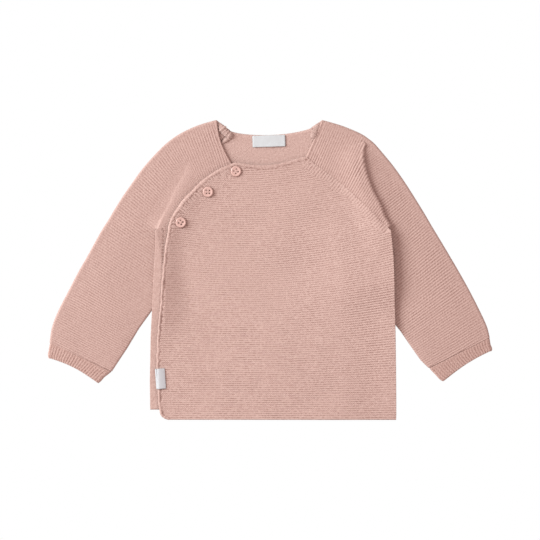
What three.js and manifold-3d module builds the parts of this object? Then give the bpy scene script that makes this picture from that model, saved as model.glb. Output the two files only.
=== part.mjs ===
// Baby's overlap top in garter stitch, buttoned at one side and laid flat on a table.
// Millimetres, +Z up from the table, hem toward -Y, neck toward +Y.
// The tables below measure Y from the hem; the finished group is centred on the origin.
import * as THREE from "three";
import { mergeVertices } from "three/addons/utils/BufferGeometryUtils.js";
import Module from "manifold-3d";

const wasm = await Module();
wasm.setup();

const WALL = 1.8; // knitted cloth
const REST = 0.4; // between two layers that lie on each other
const SEAM = 0.3; // between two pieces that are sewn together
const LAYER = WALL + REST;
const TUBE = WALL + LAYER; // a sleeve pressed flat
const ROLL = 0.9; // how far a cloth edge rounds in
const RAMP = 20; // length over which the back climbs onto a sleeve below it
const RAMP_MORE = 7; // each layer above climbs from so much further out
const CLEAR = 4; // full height is reached so far outside the edge of what lies below
const CLEAR_MORE = 3;
const UNDER_RAMP = 50; // the same pair for the hidden edge of the under front
const UNDER_CLEAR = 10;
const PLEAT_REACH = 34; // how far a sleeve pleat lifts the cloth beside its fold
const PLEAT_RUN = 46; // length over which a pleat grows from its tip
const PLEAT_ENDS = 150; // height above the hem at which the pleats have died out
const PLEAT_FADE = 30;
const NECK_DIP = 5.5; // sag of the front neckline
const BACK_DIP = 6.4; // sag of the back neckline
const DIP_ROWS = 2.6; // rows over which the neckline sag fades
const NECK_BOW = 3.3; // how far the neck edge of the left sleeve curves into the sleeve

const BUTTON = { radius: 5.6, thick: 2.2, rim: 1.1, dish: 0.7, hole: 0.75, pitch: 1.35, sides: 18 };
const LABEL_THICK = 0.6;
const FLAG_DROP = 1.6; // how far the side label turns down over the cloth edge

const CLOTH = { name: "knit", color: 0xd5b0a6 };
const RIB = { name: "rib", color: 0xcfa99e };
const SHELL = { name: "button", color: 0xdeb9af };
const LABEL = { name: "label", color: 0xe3e4e4 };

// Front panel on top: one row per height, left end on the free edge, right end on side and raglan.
const OVER_ROWS = [
  { lx: -101.5, ly: 1.3, rx: 126.2, ry: 1.0 },
  { lx: -108.3, ly: 4.6, rx: 126.4, ry: 6.5 },
  { lx: -110.6, ly: 13, rx: 126.4, ry: 15 },
  { lx: -112, ly: 27, rx: 126.3, ry: 29 },
  { lx: -113, ly: 56, rx: 126, ry: 58 },
  { lx: -112.3, ly: 84, rx: 125.5, ry: 90 },
  { lx: -110, ly: 112, rx: 124.7, ry: 116 },
  { lx: -107.5, ly: 141, rx: 124.3, ry: 140 },
  { lx: -105.5, ly: 165, rx: 124, ry: 163 },
  { lx: -102.6, ly: 184, rx: 122.6, ry: 179 },
  { lx: -100, ly: 198, rx: 120.6, ry: 190.6 },
  { lx: -96, ly: 208, rx: 110.2, ry: 200.3 },
  { lx: -87, ly: 220.8, rx: 96.6, ry: 215.1 },
  { lx: -74, ly: 234.5, rx: 76.1, ry: 233.8 },
  { lx: -64.5, ly: 243.2, rx: 65.7, ry: 242 },
  { lx: -55, ly: 249.6, rx: 57.7, ry: 248 },
  { lx: -45.5, ly: 254.5, rx: 49.6, ry: 254 },
  { lx: -36, ly: 258.2, rx: 35.8, ry: 264.8 },
];

// Front panel below: left end on side and raglan, right end on its hidden free edge.
const UNDER_ROWS = [
  { lx: -119.9, ly: 11.3, rx: 60, ry: 11 },
  { lx: -120.3, ly: 40, rx: 60, ry: 40 },
  { lx: -119.5, ly: 84, rx: 60, ry: 84 },
  { lx: -118, ly: 111, rx: 60, ry: 111 },
  { lx: -116.6, ly: 140, rx: 60, ry: 136 },
  { lx: -115.2, ly: 165, rx: 59, ry: 160 },
  { lx: -113.9, ly: 188.7, rx: 54, ry: 181 },
  { lx: -100.7, ly: 201.1, rx: 44, ry: 200 },
  { lx: -90.2, ly: 212.1, rx: 30, ry: 213 },
  { lx: -78.2, ly: 223.6, rx: 12, ry: 223.5 },
  { lx: -63.7, ly: 236.1, rx: -10, ry: 234 },
  { lx: -45.8, ly: 249.1, rx: -28, ry: 243 },
];

// Back panel: both ends run up the side and then the back raglan.
const BACK_ROWS = [
  { lx: -119.6, ly: 11.8, rx: 125.8, ry: 2.6 },
  { lx: -120, ly: 40, rx: 125.8, ry: 40 },
  { lx: -119.2, ly: 84, rx: 125.1, ry: 90 },
  { lx: -117.7, ly: 111, rx: 124.3, ry: 116 },
  { lx: -116.3, ly: 140, rx: 123.9, ry: 140 },
  { lx: -114.9, ly: 165, rx: 123.6, ry: 163 },
  { lx: -113.6, ly: 188.7, rx: 120.2, ry: 190.6 },
  { lx: -100.6, ly: 201.1, rx: 110.2, ry: 200.4 },
  { lx: -90.6, ly: 214.6, rx: 98.6, ry: 215.6 },
  { lx: -82.6, ly: 234.6, rx: 83.6, ry: 235.6 },
  { lx: -69.6, ly: 254.6, rx: 70.6, ry: 254.6 },
  { lx: -52.6, ly: 275.6, rx: 53.6, ry: 275.6 },
  { lx: -40.3, ly: 291, rx: 42, ry: 294.2 },
];

// Sleeves: one row per section from the neck down. o is the outer fold, f the end of the front
// layer and b the end of the back layer; where f and b meet, the sleeve is a closed tube.
const LEFT_SLEEVE = [
  { ox: -53, oy: 301, fx: -37.5, fy: 256.6, bx: -40.6, by: 291.4 },
  { ox: -72, oy: 295.4, fx: -46, fy: 249.5, bx: -53, by: 276 },
  { ox: -97, oy: 283, fx: -63.7, fy: 236.5, bx: -70, by: 255 },
  { ox: -113, oy: 268, fx: -78.4, fy: 224, bx: -83, by: 235 },
  { ox: -131, oy: 247, fx: -90.5, fy: 212.5, bx: -91, by: 215 },
  { ox: -144, oy: 228.5, fx: -101, fy: 201.5, bx: -101, by: 201.5 },
  { ox: -155.5, oy: 211, fx: -114.4, fy: 189.1, bx: -114.4, by: 189.1 },
  { ox: -169, oy: 189, fx: -109, fy: 158, bx: -109, by: 158 },
  { ox: -182, oy: 165.5, fx: -107, fy: 128, bx: -107, by: 128 },
  { ox: -192.5, oy: 147, fx: -121, fy: 107.5, bx: -121, by: 107.5 },
  { ox: -201, oy: 130.5, fx: -131.5, fy: 93, bx: -131.5, by: 93 },
  { ox: -212, oy: 109, fx: -143.5, fy: 73, bx: -143.5, by: 73 },
  { ox: -220.2, oy: 78.1, fx: -159, fy: 49.5, bx: -159, by: 49.5 },
];
const RIGHT_SLEEVE = [
  { ox: 53, oy: 301, fx: 36.2, fy: 265.2, bx: 42.4, by: 294.6 },
  { ox: 72, oy: 295, fx: 50, fy: 254.4, bx: 54, by: 276 },
  { ox: 90, oy: 287.5, fx: 58.1, fy: 248.4, bx: 71, by: 255 },
  { ox: 104, oy: 277.5, fx: 66.1, fy: 242.4, bx: 84, by: 236 },
  { ox: 120, oy: 259, fx: 76.5, fy: 234.2, bx: 91.3, by: 226 },
  { ox: 135, oy: 238.5, fx: 97, fy: 215.5, bx: 99, by: 216 },
  { ox: 146.5, oy: 220, fx: 110.6, fy: 200.8, bx: 110.6, by: 200.8 },
  { ox: 154.5, oy: 207, fx: 121.2, fy: 191, bx: 121.2, by: 191 },
  { ox: 166, oy: 187.5, fx: 103, fy: 157, bx: 103, by: 157 },
  { ox: 178, oy: 167.5, fx: 102, fy: 130, bx: 102, by: 130 },
  { ox: 190, oy: 147, fx: 117.5, fy: 106.5, bx: 117.5, by: 106.5 },
  { ox: 201, oy: 127, fx: 130.5, fy: 91, bx: 130.5, by: 91 },
  { ox: 212, oy: 105, fx: 142.5, fy: 73.5, bx: 142.5, by: 73.5 },
  { ox: 219.6, oy: 83, fx: 159.6, fy: 53.1, bx: 159.6, by: 53.1 },
];
const LEFT_UNDERARM = 6; // row from which the left sleeve is a closed tube
const RIGHT_UNDERARM = 7;

// Sleeve pleats, from the raglan to the fold that lies on the sleeve, neck end first.
const LEFT_PLEAT = [
  { lx: -81.5, ly: 262, rx: -58, ry: 255 },
  { lx: -84.5, ly: 256, rx: -56, ry: 242.2 },
  { lx: -88.4, ly: 246, rx: -68, ry: 233 },
  { lx: -92.5, ly: 235.5, rx: -78.4, ry: 224 },
  { lx: -99, ly: 218, rx: -90.5, ry: 212.5 },
  { lx: -106.8, ly: 202.5, rx: -100.4, ry: 202.1 },
  { lx: -112.4, ly: 191.6, rx: -111, ry: 192.2 },
];
const RIGHT_PLEAT = [
  { lx: 62, ly: 262, rx: 95.5, ry: 276 },
  { lx: 66.1, ly: 242.4, rx: 94.2, ry: 265 },
  { lx: 76.5, ly: 234.2, rx: 95.8, ry: 251 },
  { lx: 97, ly: 215.5, rx: 102, ry: 232 },
  { lx: 110.6, ly: 200.8, rx: 112.5, ry: 211 },
  { lx: 119.4, ly: 192.8, rx: 121.2, ry: 194 },
];
const LEFT_PLEAT_SHARE = 0.6; // height of the left pleat, as a share of the right one

// Ribbed cuffs: outer corner (o) and inner corner (i), from the sleeve to the wrist.
const LEFT_CUFF = [
  { ox: -219.6, oy: 77.5, ix: -159.6, iy: 48.9 },
  { ox: -221, oy: 70.6, ix: -166.4, iy: 44.2 },
  { ox: -221.8, oy: 66, ix: -169.9, iy: 40 },
  { ox: -220.6, oy: 62.8, ix: -172.6, iy: 38.1 },
];
const RIGHT_CUFF = [
  { ox: 219.4, oy: 82.3, ix: 160.4, iy: 52.6 },
  { ox: 220.2, oy: 76.6, ix: 166, iy: 46.8 },
  { ox: 221.8, oy: 72.6, ix: 170.6, iy: 41.8 },
  { ox: 221.2, oy: 70.2, ix: 174, iy: 40 },
];
const LEFT_WRIST_BOW = 3; // how far the middle of a cuff's wrist edge curves up
const RIGHT_WRIST_BOW = 2.4;

const BUTTONS = [
  { name: "button_1", x: -34, y: 249.6, turn: 20 },
  { name: "button_2", x: -62, y: 229, turn: 50 },
  { name: "button_3", x: -89, y: 199, turn: 35 },
];
const NECK_LABEL = { x: -1, y: 280, wide: 33, high: 11.6, turn: 1.8 };
const FLAG_LABEL = { x: -109.4, y: 42.3, wide: 9.8, high: 20.5, turn: 4 };

const UP_AXIS = new THREE.Vector3(0, 0, 1);
const steps = (count) => Array.from({ length: count + 1 }, (_, i) => i / count);
const clamp = (v, low, high) => Math.max(low, Math.min(high, v));
const ease = (t) => clamp(t, 0, 1) ** 2 * (3 - 2 * clamp(t, 0, 1));
const mix = (a, b, t) => a + (b - a) * t;

// One column of a table at row position t, in straight runs between rows.
function straight(table, column, t) {
  const row = Math.min(Math.floor(t), table.length - 2);
  return mix(table[row][column], table[row + 1][column], t - row);
}

// One column of a table at row position t, in a smooth curve through the rows.
function smooth(table, column, t) {
  const row = Math.min(Math.floor(t), table.length - 2);
  const s = t - row;
  const at = (k) => table[clamp(k, 0, table.length - 1)][column];
  const [a, b, c, d] = [at(row - 1), at(row), at(row + 1), at(row + 2)];
  const square = 2 * a - 5 * b + 4 * c - d;
  const cube = 3 * b - a - 3 * c + d;
  return 0.5 * (2 * b + (c - a) * s + square * s * s + cube * s ** 3);
}

// Distance from a point to a line of points.
function distance(x, y, line) {
  let best = Infinity;
  for (let i = 0; i + 1 < line.length; i++) {
    const [ax, ay] = line[i];
    const [dx, dy] = [line[i + 1][0] - ax, line[i + 1][1] - ay];
    const t = clamp(((x - ax) * dx + (y - ay) * dy) / (dx * dx + dy * dy), 0, 1);
    best = Math.min(best, Math.hypot(x - ax - t * dx, y - ay - t * dy));
  }
  return best;
}

function inside(x, y, outline) {
  let within = false;
  outline.forEach(([ax, ay], i) => {
    const [bx, by] = outline[(i + 1) % outline.length];
    if (ay > y !== by > y && x < ax + ((y - ay) * (bx - ax)) / (by - ay)) within = !within;
  });
  return within;
}

// 1 over an outline and just round it, falling softly to 0 at a ramp's length outside.
function climb(x, y, outline, clear, ramp) {
  if (inside(x, y, outline)) return 1;
  return ease(1 - (distance(x, y, [...outline, outline[0]]) - clear) / (ramp - clear));
}

const column = (table, kx, ky, from = 0) => table.slice(from).map((row) => [row[kx], row[ky]]);
const tubeOutline = (table, from) => [
  ...column(table, "fx", "fy", from),
  ...column(table, "ox", "oy", from).reverse(),
];
const LEFT_TUBE = tubeOutline(LEFT_SLEEVE, LEFT_UNDERARM);
const RIGHT_TUBE = tubeOutline(RIGHT_SLEEVE, RIGHT_UNDERARM);
const UNDER_SIDE_ROWS = 7; // rows of the lower front up to its underarm
const UNDER_OUTLINE = [
  ...column(LEFT_SLEEVE, "ox", "oy").slice(0, LEFT_UNDERARM),
  ...column(UNDER_ROWS, "lx", "ly").slice(0, UNDER_SIDE_ROWS).reverse(),
  ...column(UNDER_ROWS, "rx", "ry"),
  [LEFT_SLEEVE[0].fx, LEFT_SLEEVE[0].fy],
];
const LEFT_FOLD = [
  ...column(LEFT_PLEAT, "lx", "ly"),
  ...column(UNDER_ROWS, "lx", "ly").slice(3, UNDER_SIDE_ROWS).reverse(),
];
const RIGHT_FOLD = [
  ...column(RIGHT_PLEAT, "rx", "ry"),
  ...column(OVER_ROWS, "rx", "ry").slice(6, 11).reverse(),
];

// How far layer number "above" over a sleeve is raised, as a share of a flat sleeve.
function overTubes(x, y, above) {
  const [clear, ramp] = [CLEAR + CLEAR_MORE * above, RAMP + RAMP_MORE * above];
  return climb(x, y, x < 0 ? LEFT_TUBE : RIGHT_TUBE, clear, ramp);
}
function byPleat(x, y) {
  const [fold, share] = x < 0 ? [LEFT_FOLD, LEFT_PLEAT_SHARE] : [RIGHT_FOLD, 1];
  const beside = ease(1 - distance(x, y, fold) / PLEAT_REACH);
  const grown = ease((fold[0][1] - y) / PLEAT_RUN);
  return share * beside * grown * ease((y - PLEAT_ENDS) / PLEAT_FADE);
}
const TUBE_STEP = TUBE + REST;
const raised = (x, y, above) => 1 - (1 - overTubes(x, y, above)) * (1 - byPleat(x, y));
const backUnder = (x, y) => TUBE_STEP * overTubes(x, y, 0);
const underUnder = (x, y) => LAYER + TUBE_STEP * raised(x, y, 1);
function overUnder(x, y) {
  const layers = LAYER + LAYER * climb(x, y, UNDER_OUTLINE, UNDER_CLEAR, UNDER_RAMP);
  return layers + TUBE_STEP * raised(x, y, 2);
}

// Collects the faces of one closed surface and turns them outward.
class Skin {
  constructor() {
    this.points = [];
  }
  face(a, b, c, d) {
    this.points.push(...a, ...b, ...c);
    if (d) this.points.push(...a, ...c, ...d);
  }
  geometry() {
    const made = new THREE.BufferGeometry();
    const corners = new Float32Array(this.points);
    made.setAttribute("position", new THREE.BufferAttribute(corners, 3));
    const merged = mergeVertices(made, 1e-3);
    if (volume(merged) < 0) merged.index.array.reverse();
    return merged;
  }
}

function volume(geometry) {
  const at = (i) => new THREE.Vector3().fromBufferAttribute(geometry.attributes.position, i);
  const index = geometry.index.array;
  let six = 0;
  for (let i = 0; i < index.length; i += 3) {
    six += at(index[i]).dot(at(index[i + 1]).cross(at(index[i + 2])));
  }
  return six / 6;
}

// A cloth panel between two table-driven ends, with rounded edges all round.
function panel({ rows, across, perRow, left, right, dip, under, thick }) {
  const last = rows.length - 1;
  const heights = steps(Math.round(last * perRow)).map((t) => t * last);
  const plan = (u, t) => {
    const [lx, ly] = [left(rows, "lx", t), left(rows, "ly", t)];
    const [rx, ry] = [right(rows, "rx", t), right(rows, "ry", t)];
    return [mix(lx, rx, u), mix(ly, ry, u) - (dip ? dip(u, last - t) : 0)];
  };
  const first = Math.hypot(rows[1].rx - rows[0].rx, rows[1].ry - rows[0].ry);
  const final = Math.hypot(rows[last].rx - rows[last - 1].rx, rows[last].ry - rows[last - 1].ry);
  const place = (i, j, part) => {
    const t = heights[j];
    const width = right(rows, "rx", t) - left(rows, "lx", t);
    const round = part ? ROLL : 0;
    const u = clamp(across[i], round / width, 1 - round / width);
    const [x, y] = plan(u, clamp(t, round / first, last - round / final));
    const low = under(x, y);
    const high = low + (thick ? thick(x, y) : WALL);
    return [x, y, part ? (part > 0 ? high : low) : (low + high) / 2];
  };
  const [m, n] = [across.length - 1, heights.length - 1];
  const skin = new Skin();
  for (let i = 0; i < m; i++) {
    for (let j = 0; j < n; j++) {
      for (const part of [1, -1]) {
        const corners = [[i, j], [i + 1, j], [i + 1, j + 1], [i, j + 1]];
        if (part < 0) corners.reverse();
        skin.face(...corners.map(([a, b]) => place(a, b, part)));
      }
    }
  }
  const rim = [];
  for (let i = 0; i < m; i++) rim.push([i, 0]);
  for (let j = 0; j < n; j++) rim.push([m, j]);
  for (let i = m; i > 0; i--) rim.push([i, n]);
  for (let j = n; j > 0; j--) rim.push([0, j]);
  rim.forEach(([i, j], k) => {
    const [a, b] = rim[(k + 1) % rim.length];
    skin.face(place(i, j, 0), place(a, b, 0), place(a, b, 1), place(i, j, 1));
    skin.face(place(i, j, -1), place(a, b, -1), place(a, b, 0), place(i, j, 0));
  });
  return skin.geometry();
}

// Points round one section of a flat tube: [share of width, inset, height], outer skin and slit.
function sectionLoop(along, closed) {
  const [half, slit] = [TUBE / 2, REST / 2];
  const turn = Math.SQRT1_2;
  const bevel = 0.45;
  const openEnd = [
    { share: 0, inset: 0, out: TUBE - bevel, in: LAYER + bevel },
    { share: 0, inset: bevel, out: TUBE, in: LAYER },
  ];
  const shutEnd = [
    { share: 0, inset: 0, inInset: half - slit, out: half, in: half },
    {
      share: 0,
      inset: half * (1 - turn),
      inInset: half - slit * turn,
      out: half + half * turn,
      in: half + slit * turn,
    },
  ];
  const fold = [...shutEnd].reverse().map((p) => ({ ...p, fold: true }));
  const middle = along.map((share) => ({ share, inset: half, out: TUBE, in: LAYER }));
  return [...(closed ? shutEnd : openEnd), ...middle, ...fold];
}

// A sleeve or cuff: front layer, outer fold and back layer in one wall, shut from row "closed" on.
function flatTube({ rows, perRow, closed, along, bow, wristBow = 0 }) {
  const last = rows.length - 1;
  const heights = steps(last * perRow).map((t) => t * last);
  const shut = closed * perRow;
  const loops = heights.map((t, s) => {
    const ends = sectionLoop(along, s >= shut);
    const outer = [smooth(rows, "ox", t), smooth(rows, "oy", t)];
    const layer = (kx, ky, mirror) => {
      const inner = [straight(rows, kx, t), straight(rows, ky, t)];
      const width = Math.hypot(outer[0] - inner[0], outer[1] - inner[1]);
      return ends.map((p) => {
        const point = (inset, height) => {
          const from = p.fold ? width - inset : inset + p.share * (width - 2 * inset);
          const [lineX, lineY] = inner.map((v, i) => mix(v, outer[i], from / width));
          const curve = Math.sin((Math.PI * from) / width);
          const bent = bow && !mirror ? bow * curve * ease(1 - t) : 0;
          const x = lineX - bent;
          const y = lineY + wristBow * curve * ease(t / last);
          return [x, y, mirror ? TUBE - height : height];
        };
        return { out: point(p.inset, p.out), in: point(p.inInset ?? p.inset, p.in) };
      });
    };
    return [...layer("fx", "fy", false), ...layer("bx", "by", true).reverse().slice(1)];
  });
  const skin = new Skin();
  const count = loops[0].length;
  for (let s = 0; s + 1 < loops.length; s++) {
    const [a, b] = [loops[s], loops[s + 1]];
    for (let k = 0; k + 1 < count; k++) {
      skin.face(a[k].out, a[k + 1].out, b[k + 1].out, b[k].out);
      skin.face(b[k].in, b[k + 1].in, a[k + 1].in, a[k].in);
    }
    if (s < shut) {
      skin.face(a[0].in, a[0].out, b[0].out, b[0].in);
      skin.face(b[count - 1].in, b[count - 1].out, a[count - 1].out, a[count - 1].in);
    }
  }
  const [neck, wrist] = [loops[0], loops[loops.length - 1]];
  for (let k = 0; k + 1 < count; k++) {
    skin.face(neck[k].in, neck[k + 1].in, neck[k + 1].out, neck[k].out);
    skin.face(wrist[k].out, wrist[k + 1].out, wrist[k + 1].in, wrist[k].in);
  }
  return skin.geometry();
}

function solidOf(geometry) {
  const vertProperties = new Float32Array(geometry.attributes.position.array);
  const triVerts = new Uint32Array(geometry.index.array);
  return new wasm.Manifold(new wasm.Mesh({ numProp: 3, vertProperties, triVerts }));
}

function geometryOf(solid) {
  const mesh = solid.getMesh();
  const made = new THREE.BufferGeometry();
  const corners = new Float32Array(mesh.vertProperties);
  made.setAttribute("position", new THREE.BufferAttribute(corners, 3));
  made.setIndex(new THREE.BufferAttribute(new Uint32Array(mesh.triVerts), 1));
  return made;
}

function meshOf(name, geometry, look) {
  const material = new THREE.MeshStandardMaterial({ color: look.color, roughness: 0.9 });
  material.name = look.name;
  const flat = geometry.index ? geometry.toNonIndexed() : geometry;
  flat.computeVertexNormals();
  const mesh = new THREE.Mesh(flat, material);
  mesh.name = name;
  return mesh;
}

// Shares across a panel: close steps in the two margins and wide ones between them.
function columns(left, right, wide, closeLeft, closeRight) {
  const run = (from, to, count) => steps(count).map((s) => mix(from, to, s));
  const body = run(left, 1 - right, wide).slice(1, -1);
  return [...run(0, left, closeLeft), ...body, ...run(1 - right, 1, closeRight)];
}

function frontOver() {
  return panel({
    rows: OVER_ROWS,
    across: columns(0.1, 0.24, 13, 5, 6),
    perRow: 1.25,
    left: smooth,
    right: straight,
    dip: (u, down) => NECK_DIP * Math.sin(Math.PI * u) ** 1.4 * ease(1 - down / DIP_ROWS),
    under: overUnder,
  });
}

function frontUnder() {
  return panel({
    rows: UNDER_ROWS,
    across: columns(0.24, 0.2, 4, 6, 1),
    perRow: 2,
    left: straight,
    right: smooth,
    under: underUnder,
  });
}

function back() {
  return panel({
    rows: BACK_ROWS,
    across: columns(0.2, 0.22, 4, 6, 6),
    perRow: 2,
    left: straight,
    right: straight,
    dip: (u, down) => BACK_DIP * Math.sin(Math.PI * u) ** 0.6 * ease(1 - down / DIP_ROWS),
    under: backUnder,
  });
}

const ALONG = steps(4);
const PLEAT_SUNK = 0.24; // how deep the tip of a pleat lies in the sleeve
const PLEAT_TIP = 8;

// A sleeve with its pleat: the hidden layers of the pleat are one solid under the fold.
function sleeve({ rows, closed, pleat, above, left, right, bow }) {
  const tube = flatTube({ rows, perRow: 2, closed, along: ALONG, bow });
  const tip = pleat[0].ly;
  const fold = panel({
    rows: pleat,
    across: steps(5),
    perRow: 2,
    left,
    right,
    under: () => TUBE - SEAM,
    thick: (x, y) => {
      const sunk = PLEAT_SUNK * ease((y - tip) / PLEAT_TIP);
      return SEAM + TUBE_STEP * raised(x, y, above) - sunk;
    },
  });
  return geometryOf(solidOf(tube).add(solidOf(fold)));
}

function cuff(table, wristBow) {
  const rows = table.map((r) => ({ ...r, fx: r.ix, fy: r.iy, bx: r.ix, by: r.iy }));
  return flatTube({ rows, perRow: 2, closed: 0, along: steps(6), wristBow });
}

// A turned button with a raised rim and four thread holes.
function button({ x, y, turn }) {
  const { radius, thick, rim, dish, hole, pitch, sides } = BUTTON;
  const profile = [
    [0, 0],
    [radius - rim, 0],
    [radius, thick * 0.4],
    [radius, thick * 0.75],
    [radius - rim * 0.5, thick],
    [radius - rim, thick * 0.95],
    [radius - rim * 1.7, thick - dish],
    [0, thick - dish],
  ];
  const body = new THREE.LatheGeometry(
    profile.map(([r, z]) => new THREE.Vector2(r, z)),
    sides,
  );
  const pin = new THREE.CylinderGeometry(hole, hole, thick * 2, 6);
  let solid = solidOf(bare(body));
  for (const quarter of [0, 1, 2, 3]) {
    const angle = (quarter * Math.PI) / 2;
    const place = new THREE.Matrix4().makeTranslation(
      pitch * Math.cos(angle),
      thick / 2,
      pitch * Math.sin(angle),
    );
    solid = solid.subtract(solidOf(bare(pin.clone().applyMatrix4(place))));
  }
  const made = geometryOf(solid);
  made.rotateX(Math.PI / 2);
  made.rotateZ(THREE.MathUtils.degToRad(turn));
  return made.translate(x, y, topOfOver(x, y, radius) + SEAM);
}

// Positions only, with shared corners, as a solid needs.
function bare(geometry) {
  const made = new THREE.BufferGeometry();
  made.setAttribute("position", geometry.attributes.position);
  made.setIndex(geometry.index);
  const merged = mergeVertices(made, 1e-4);
  const kept = [];
  const index = merged.index.array;
  for (let i = 0; i < index.length; i += 3) {
    const [a, b, c] = index.slice(i, i + 3);
    if (a !== b && b !== c && a !== c) kept.push(a, b, c);
  }
  merged.setIndex(kept);
  if (volume(merged) < 0) merged.index.array.reverse();
  return merged;
}

// Highest point of the top panel within a reach of a place.
function topOfOver(x, y, reach) {
  const heights = steps(12).map((s) => {
    const a = s * 2 * Math.PI;
    return overUnder(x + reach * Math.cos(a), y + reach * Math.sin(a));
  });
  return WALL + Math.max(overUnder(x, y), ...heights);
}

// A thin label lying on the height field "on"; its "drop" end turns down over an edge.
function label({ x, y, wide, high, turn }, on, drop) {
  const [c, s] = [Math.cos(THREE.MathUtils.degToRad(turn)), Math.sin(THREE.MathUtils.degToRad(turn))];
  const spot = (u, v) => [x + c * u * wide - s * v * high, y + s * u * wide + c * v * high];
  const corner = (u, v) => {
    const [px, py] = spot(u, v);
    return { x: px, y: py };
  };
  const rows = [-0.5, -0.25, 0, 0.25, 0.5].map((v) => {
    const [l, r] = [corner(-0.5, v), corner(0.5, v)];
    return { lx: l.x, ly: l.y, rx: r.x, ry: r.y };
  });
  const skin = new Skin();
  const across = [0, 0.12, 0.4, 0.7, 1];
  const at = (i, j, up) => {
    const row = rows[j];
    const u = across[i];
    const [px, py] = [mix(row.lx, row.rx, u), mix(row.ly, row.ry, u)];
    const fall = drop && i === 0 ? FLAG_DROP : 0;
    return [px, py, on(px, py) + SEAM + up * LABEL_THICK - fall];
  };
  const [m, n] = [across.length - 1, rows.length - 1];
  for (let i = 0; i < m; i++) {
    for (let j = 0; j < n; j++) {
      skin.face(at(i, j, 1), at(i + 1, j, 1), at(i + 1, j + 1, 1), at(i, j + 1, 1));
      skin.face(at(i, j + 1, 0), at(i + 1, j + 1, 0), at(i + 1, j, 0), at(i, j, 0));
    }
  }
  for (let i = 0; i < m; i++) {
    skin.face(at(i, 0, 0), at(i + 1, 0, 0), at(i + 1, 0, 1), at(i, 0, 1));
    skin.face(at(i + 1, n, 0), at(i, n, 0), at(i, n, 1), at(i + 1, n, 1));
  }
  for (let j = 0; j < n; j++) {
    skin.face(at(0, j + 1, 0), at(0, j, 0), at(0, j, 1), at(0, j + 1, 1));
    skin.face(at(m, j, 0), at(m, j + 1, 0), at(m, j + 1, 1), at(m, j, 1));
  }
  return skin.geometry();
}

const LEFT = {
  rows: LEFT_SLEEVE,
  closed: LEFT_UNDERARM,
  pleat: LEFT_PLEAT,
  above: 1,
  left: smooth,
  right: straight,
  bow: NECK_BOW,
};
const RIGHT = {
  rows: RIGHT_SLEEVE,
  closed: RIGHT_UNDERARM,
  pleat: RIGHT_PLEAT,
  above: 2,
  left: straight,
  right: smooth,
};

const root = new THREE.Group();
root.name = "overlap_top";
root.add(meshOf("back", back(), CLOTH));
root.add(meshOf("front_under", frontUnder(), CLOTH));
root.add(meshOf("front_over", frontOver(), CLOTH));
root.add(meshOf("sleeve_left", sleeve(LEFT), CLOTH));
root.add(meshOf("sleeve_right", sleeve(RIGHT), CLOTH));
root.add(meshOf("cuff_left", cuff(LEFT_CUFF, LEFT_WRIST_BOW), RIB));
root.add(meshOf("cuff_right", cuff(RIGHT_CUFF, RIGHT_WRIST_BOW), RIB));
for (const one of BUTTONS) root.add(meshOf(one.name, button(one), SHELL));
root.add(meshOf("neck_label", label(NECK_LABEL, (x, y) => backUnder(x, y) + WALL, false), LABEL));
root.add(meshOf("side_label", label(FLAG_LABEL, (x, y) => overUnder(x, y) + WALL, true), LABEL));

const box = new THREE.Box3().setFromObject(root);
const middle = box.getCenter(new THREE.Vector3());
root.position.set(-middle.x, -middle.y, -box.min.z);

export default root;
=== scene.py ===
"""A baby's garter stitch overlap top laid flat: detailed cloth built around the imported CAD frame.

Cloth sizes below are millimetres. Plan coordinates are the garment's own: X across, Y up from the
hem, Z up from the table. "to_frame" turns them into the frame's own axes, in metres.
"""

import math
from types import SimpleNamespace

import bmesh
import bpy
import numpy as np
from mathutils import Matrix, Vector


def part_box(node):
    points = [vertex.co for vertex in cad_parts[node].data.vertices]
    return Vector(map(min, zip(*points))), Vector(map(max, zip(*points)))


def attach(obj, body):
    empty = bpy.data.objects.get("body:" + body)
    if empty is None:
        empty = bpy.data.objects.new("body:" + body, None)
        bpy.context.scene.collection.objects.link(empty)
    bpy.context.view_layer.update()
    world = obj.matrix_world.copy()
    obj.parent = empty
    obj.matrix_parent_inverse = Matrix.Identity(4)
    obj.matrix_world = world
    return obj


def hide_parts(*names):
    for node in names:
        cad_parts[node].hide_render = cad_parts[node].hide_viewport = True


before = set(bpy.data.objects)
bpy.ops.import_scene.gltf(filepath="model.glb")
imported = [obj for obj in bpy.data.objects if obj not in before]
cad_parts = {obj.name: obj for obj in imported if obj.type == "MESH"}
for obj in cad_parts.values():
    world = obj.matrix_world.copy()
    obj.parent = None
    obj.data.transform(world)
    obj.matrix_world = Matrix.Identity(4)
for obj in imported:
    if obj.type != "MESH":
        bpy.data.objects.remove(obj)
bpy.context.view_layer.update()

MM = 0.001  # a millimetre, in metres
WALL = 1.8  # thickness of the knitted cloth
LAYER = 2.2  # one cloth and the air under it
TUBE_STEP = 4.4  # a flat sleeve and the air under it
FRONT_MID = 3.1  # middle of the front layer of a flat sleeve
BACK_MID = 0.9  # middle of its back layer
PITCH = 2.15  # between two garter ridges on the body
SEAM_PITCH = 2.8  # the same where the body's ridges turn to meet an edge
STITCH = 2.1  # between two stitches along a ridge
RIDGE = 0.55  # height of a ridge
RIDGE_MEAN = 0.6  # share of that height at which the cloth's mean surface lies
SEAM_ROUND = 0.12  # how far a sewn edge rounds in
EDGE_ROUND = 1.3  # the same for an open edge
SEAM_LAP = 0.8  # how far a sleeve's sewn edge reaches past its CAD solid's, to meet its panel
YOKE_ROLL = 3.2  # how high the cloth stands beside the fold of the right pleat
SIDE_ROLL = 4.0  # the same beside the right side seam
FOLD_INSET = 0.5  # how far inside its outline the middle of the cloth turns at an outer fold
HIDDEN_STEP = 3  # the hidden skin has every third row and column
PLAIN_SHADE = 0.66  # shade of smooth knit, from 0 in a hollow to 1 on a ridge
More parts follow.
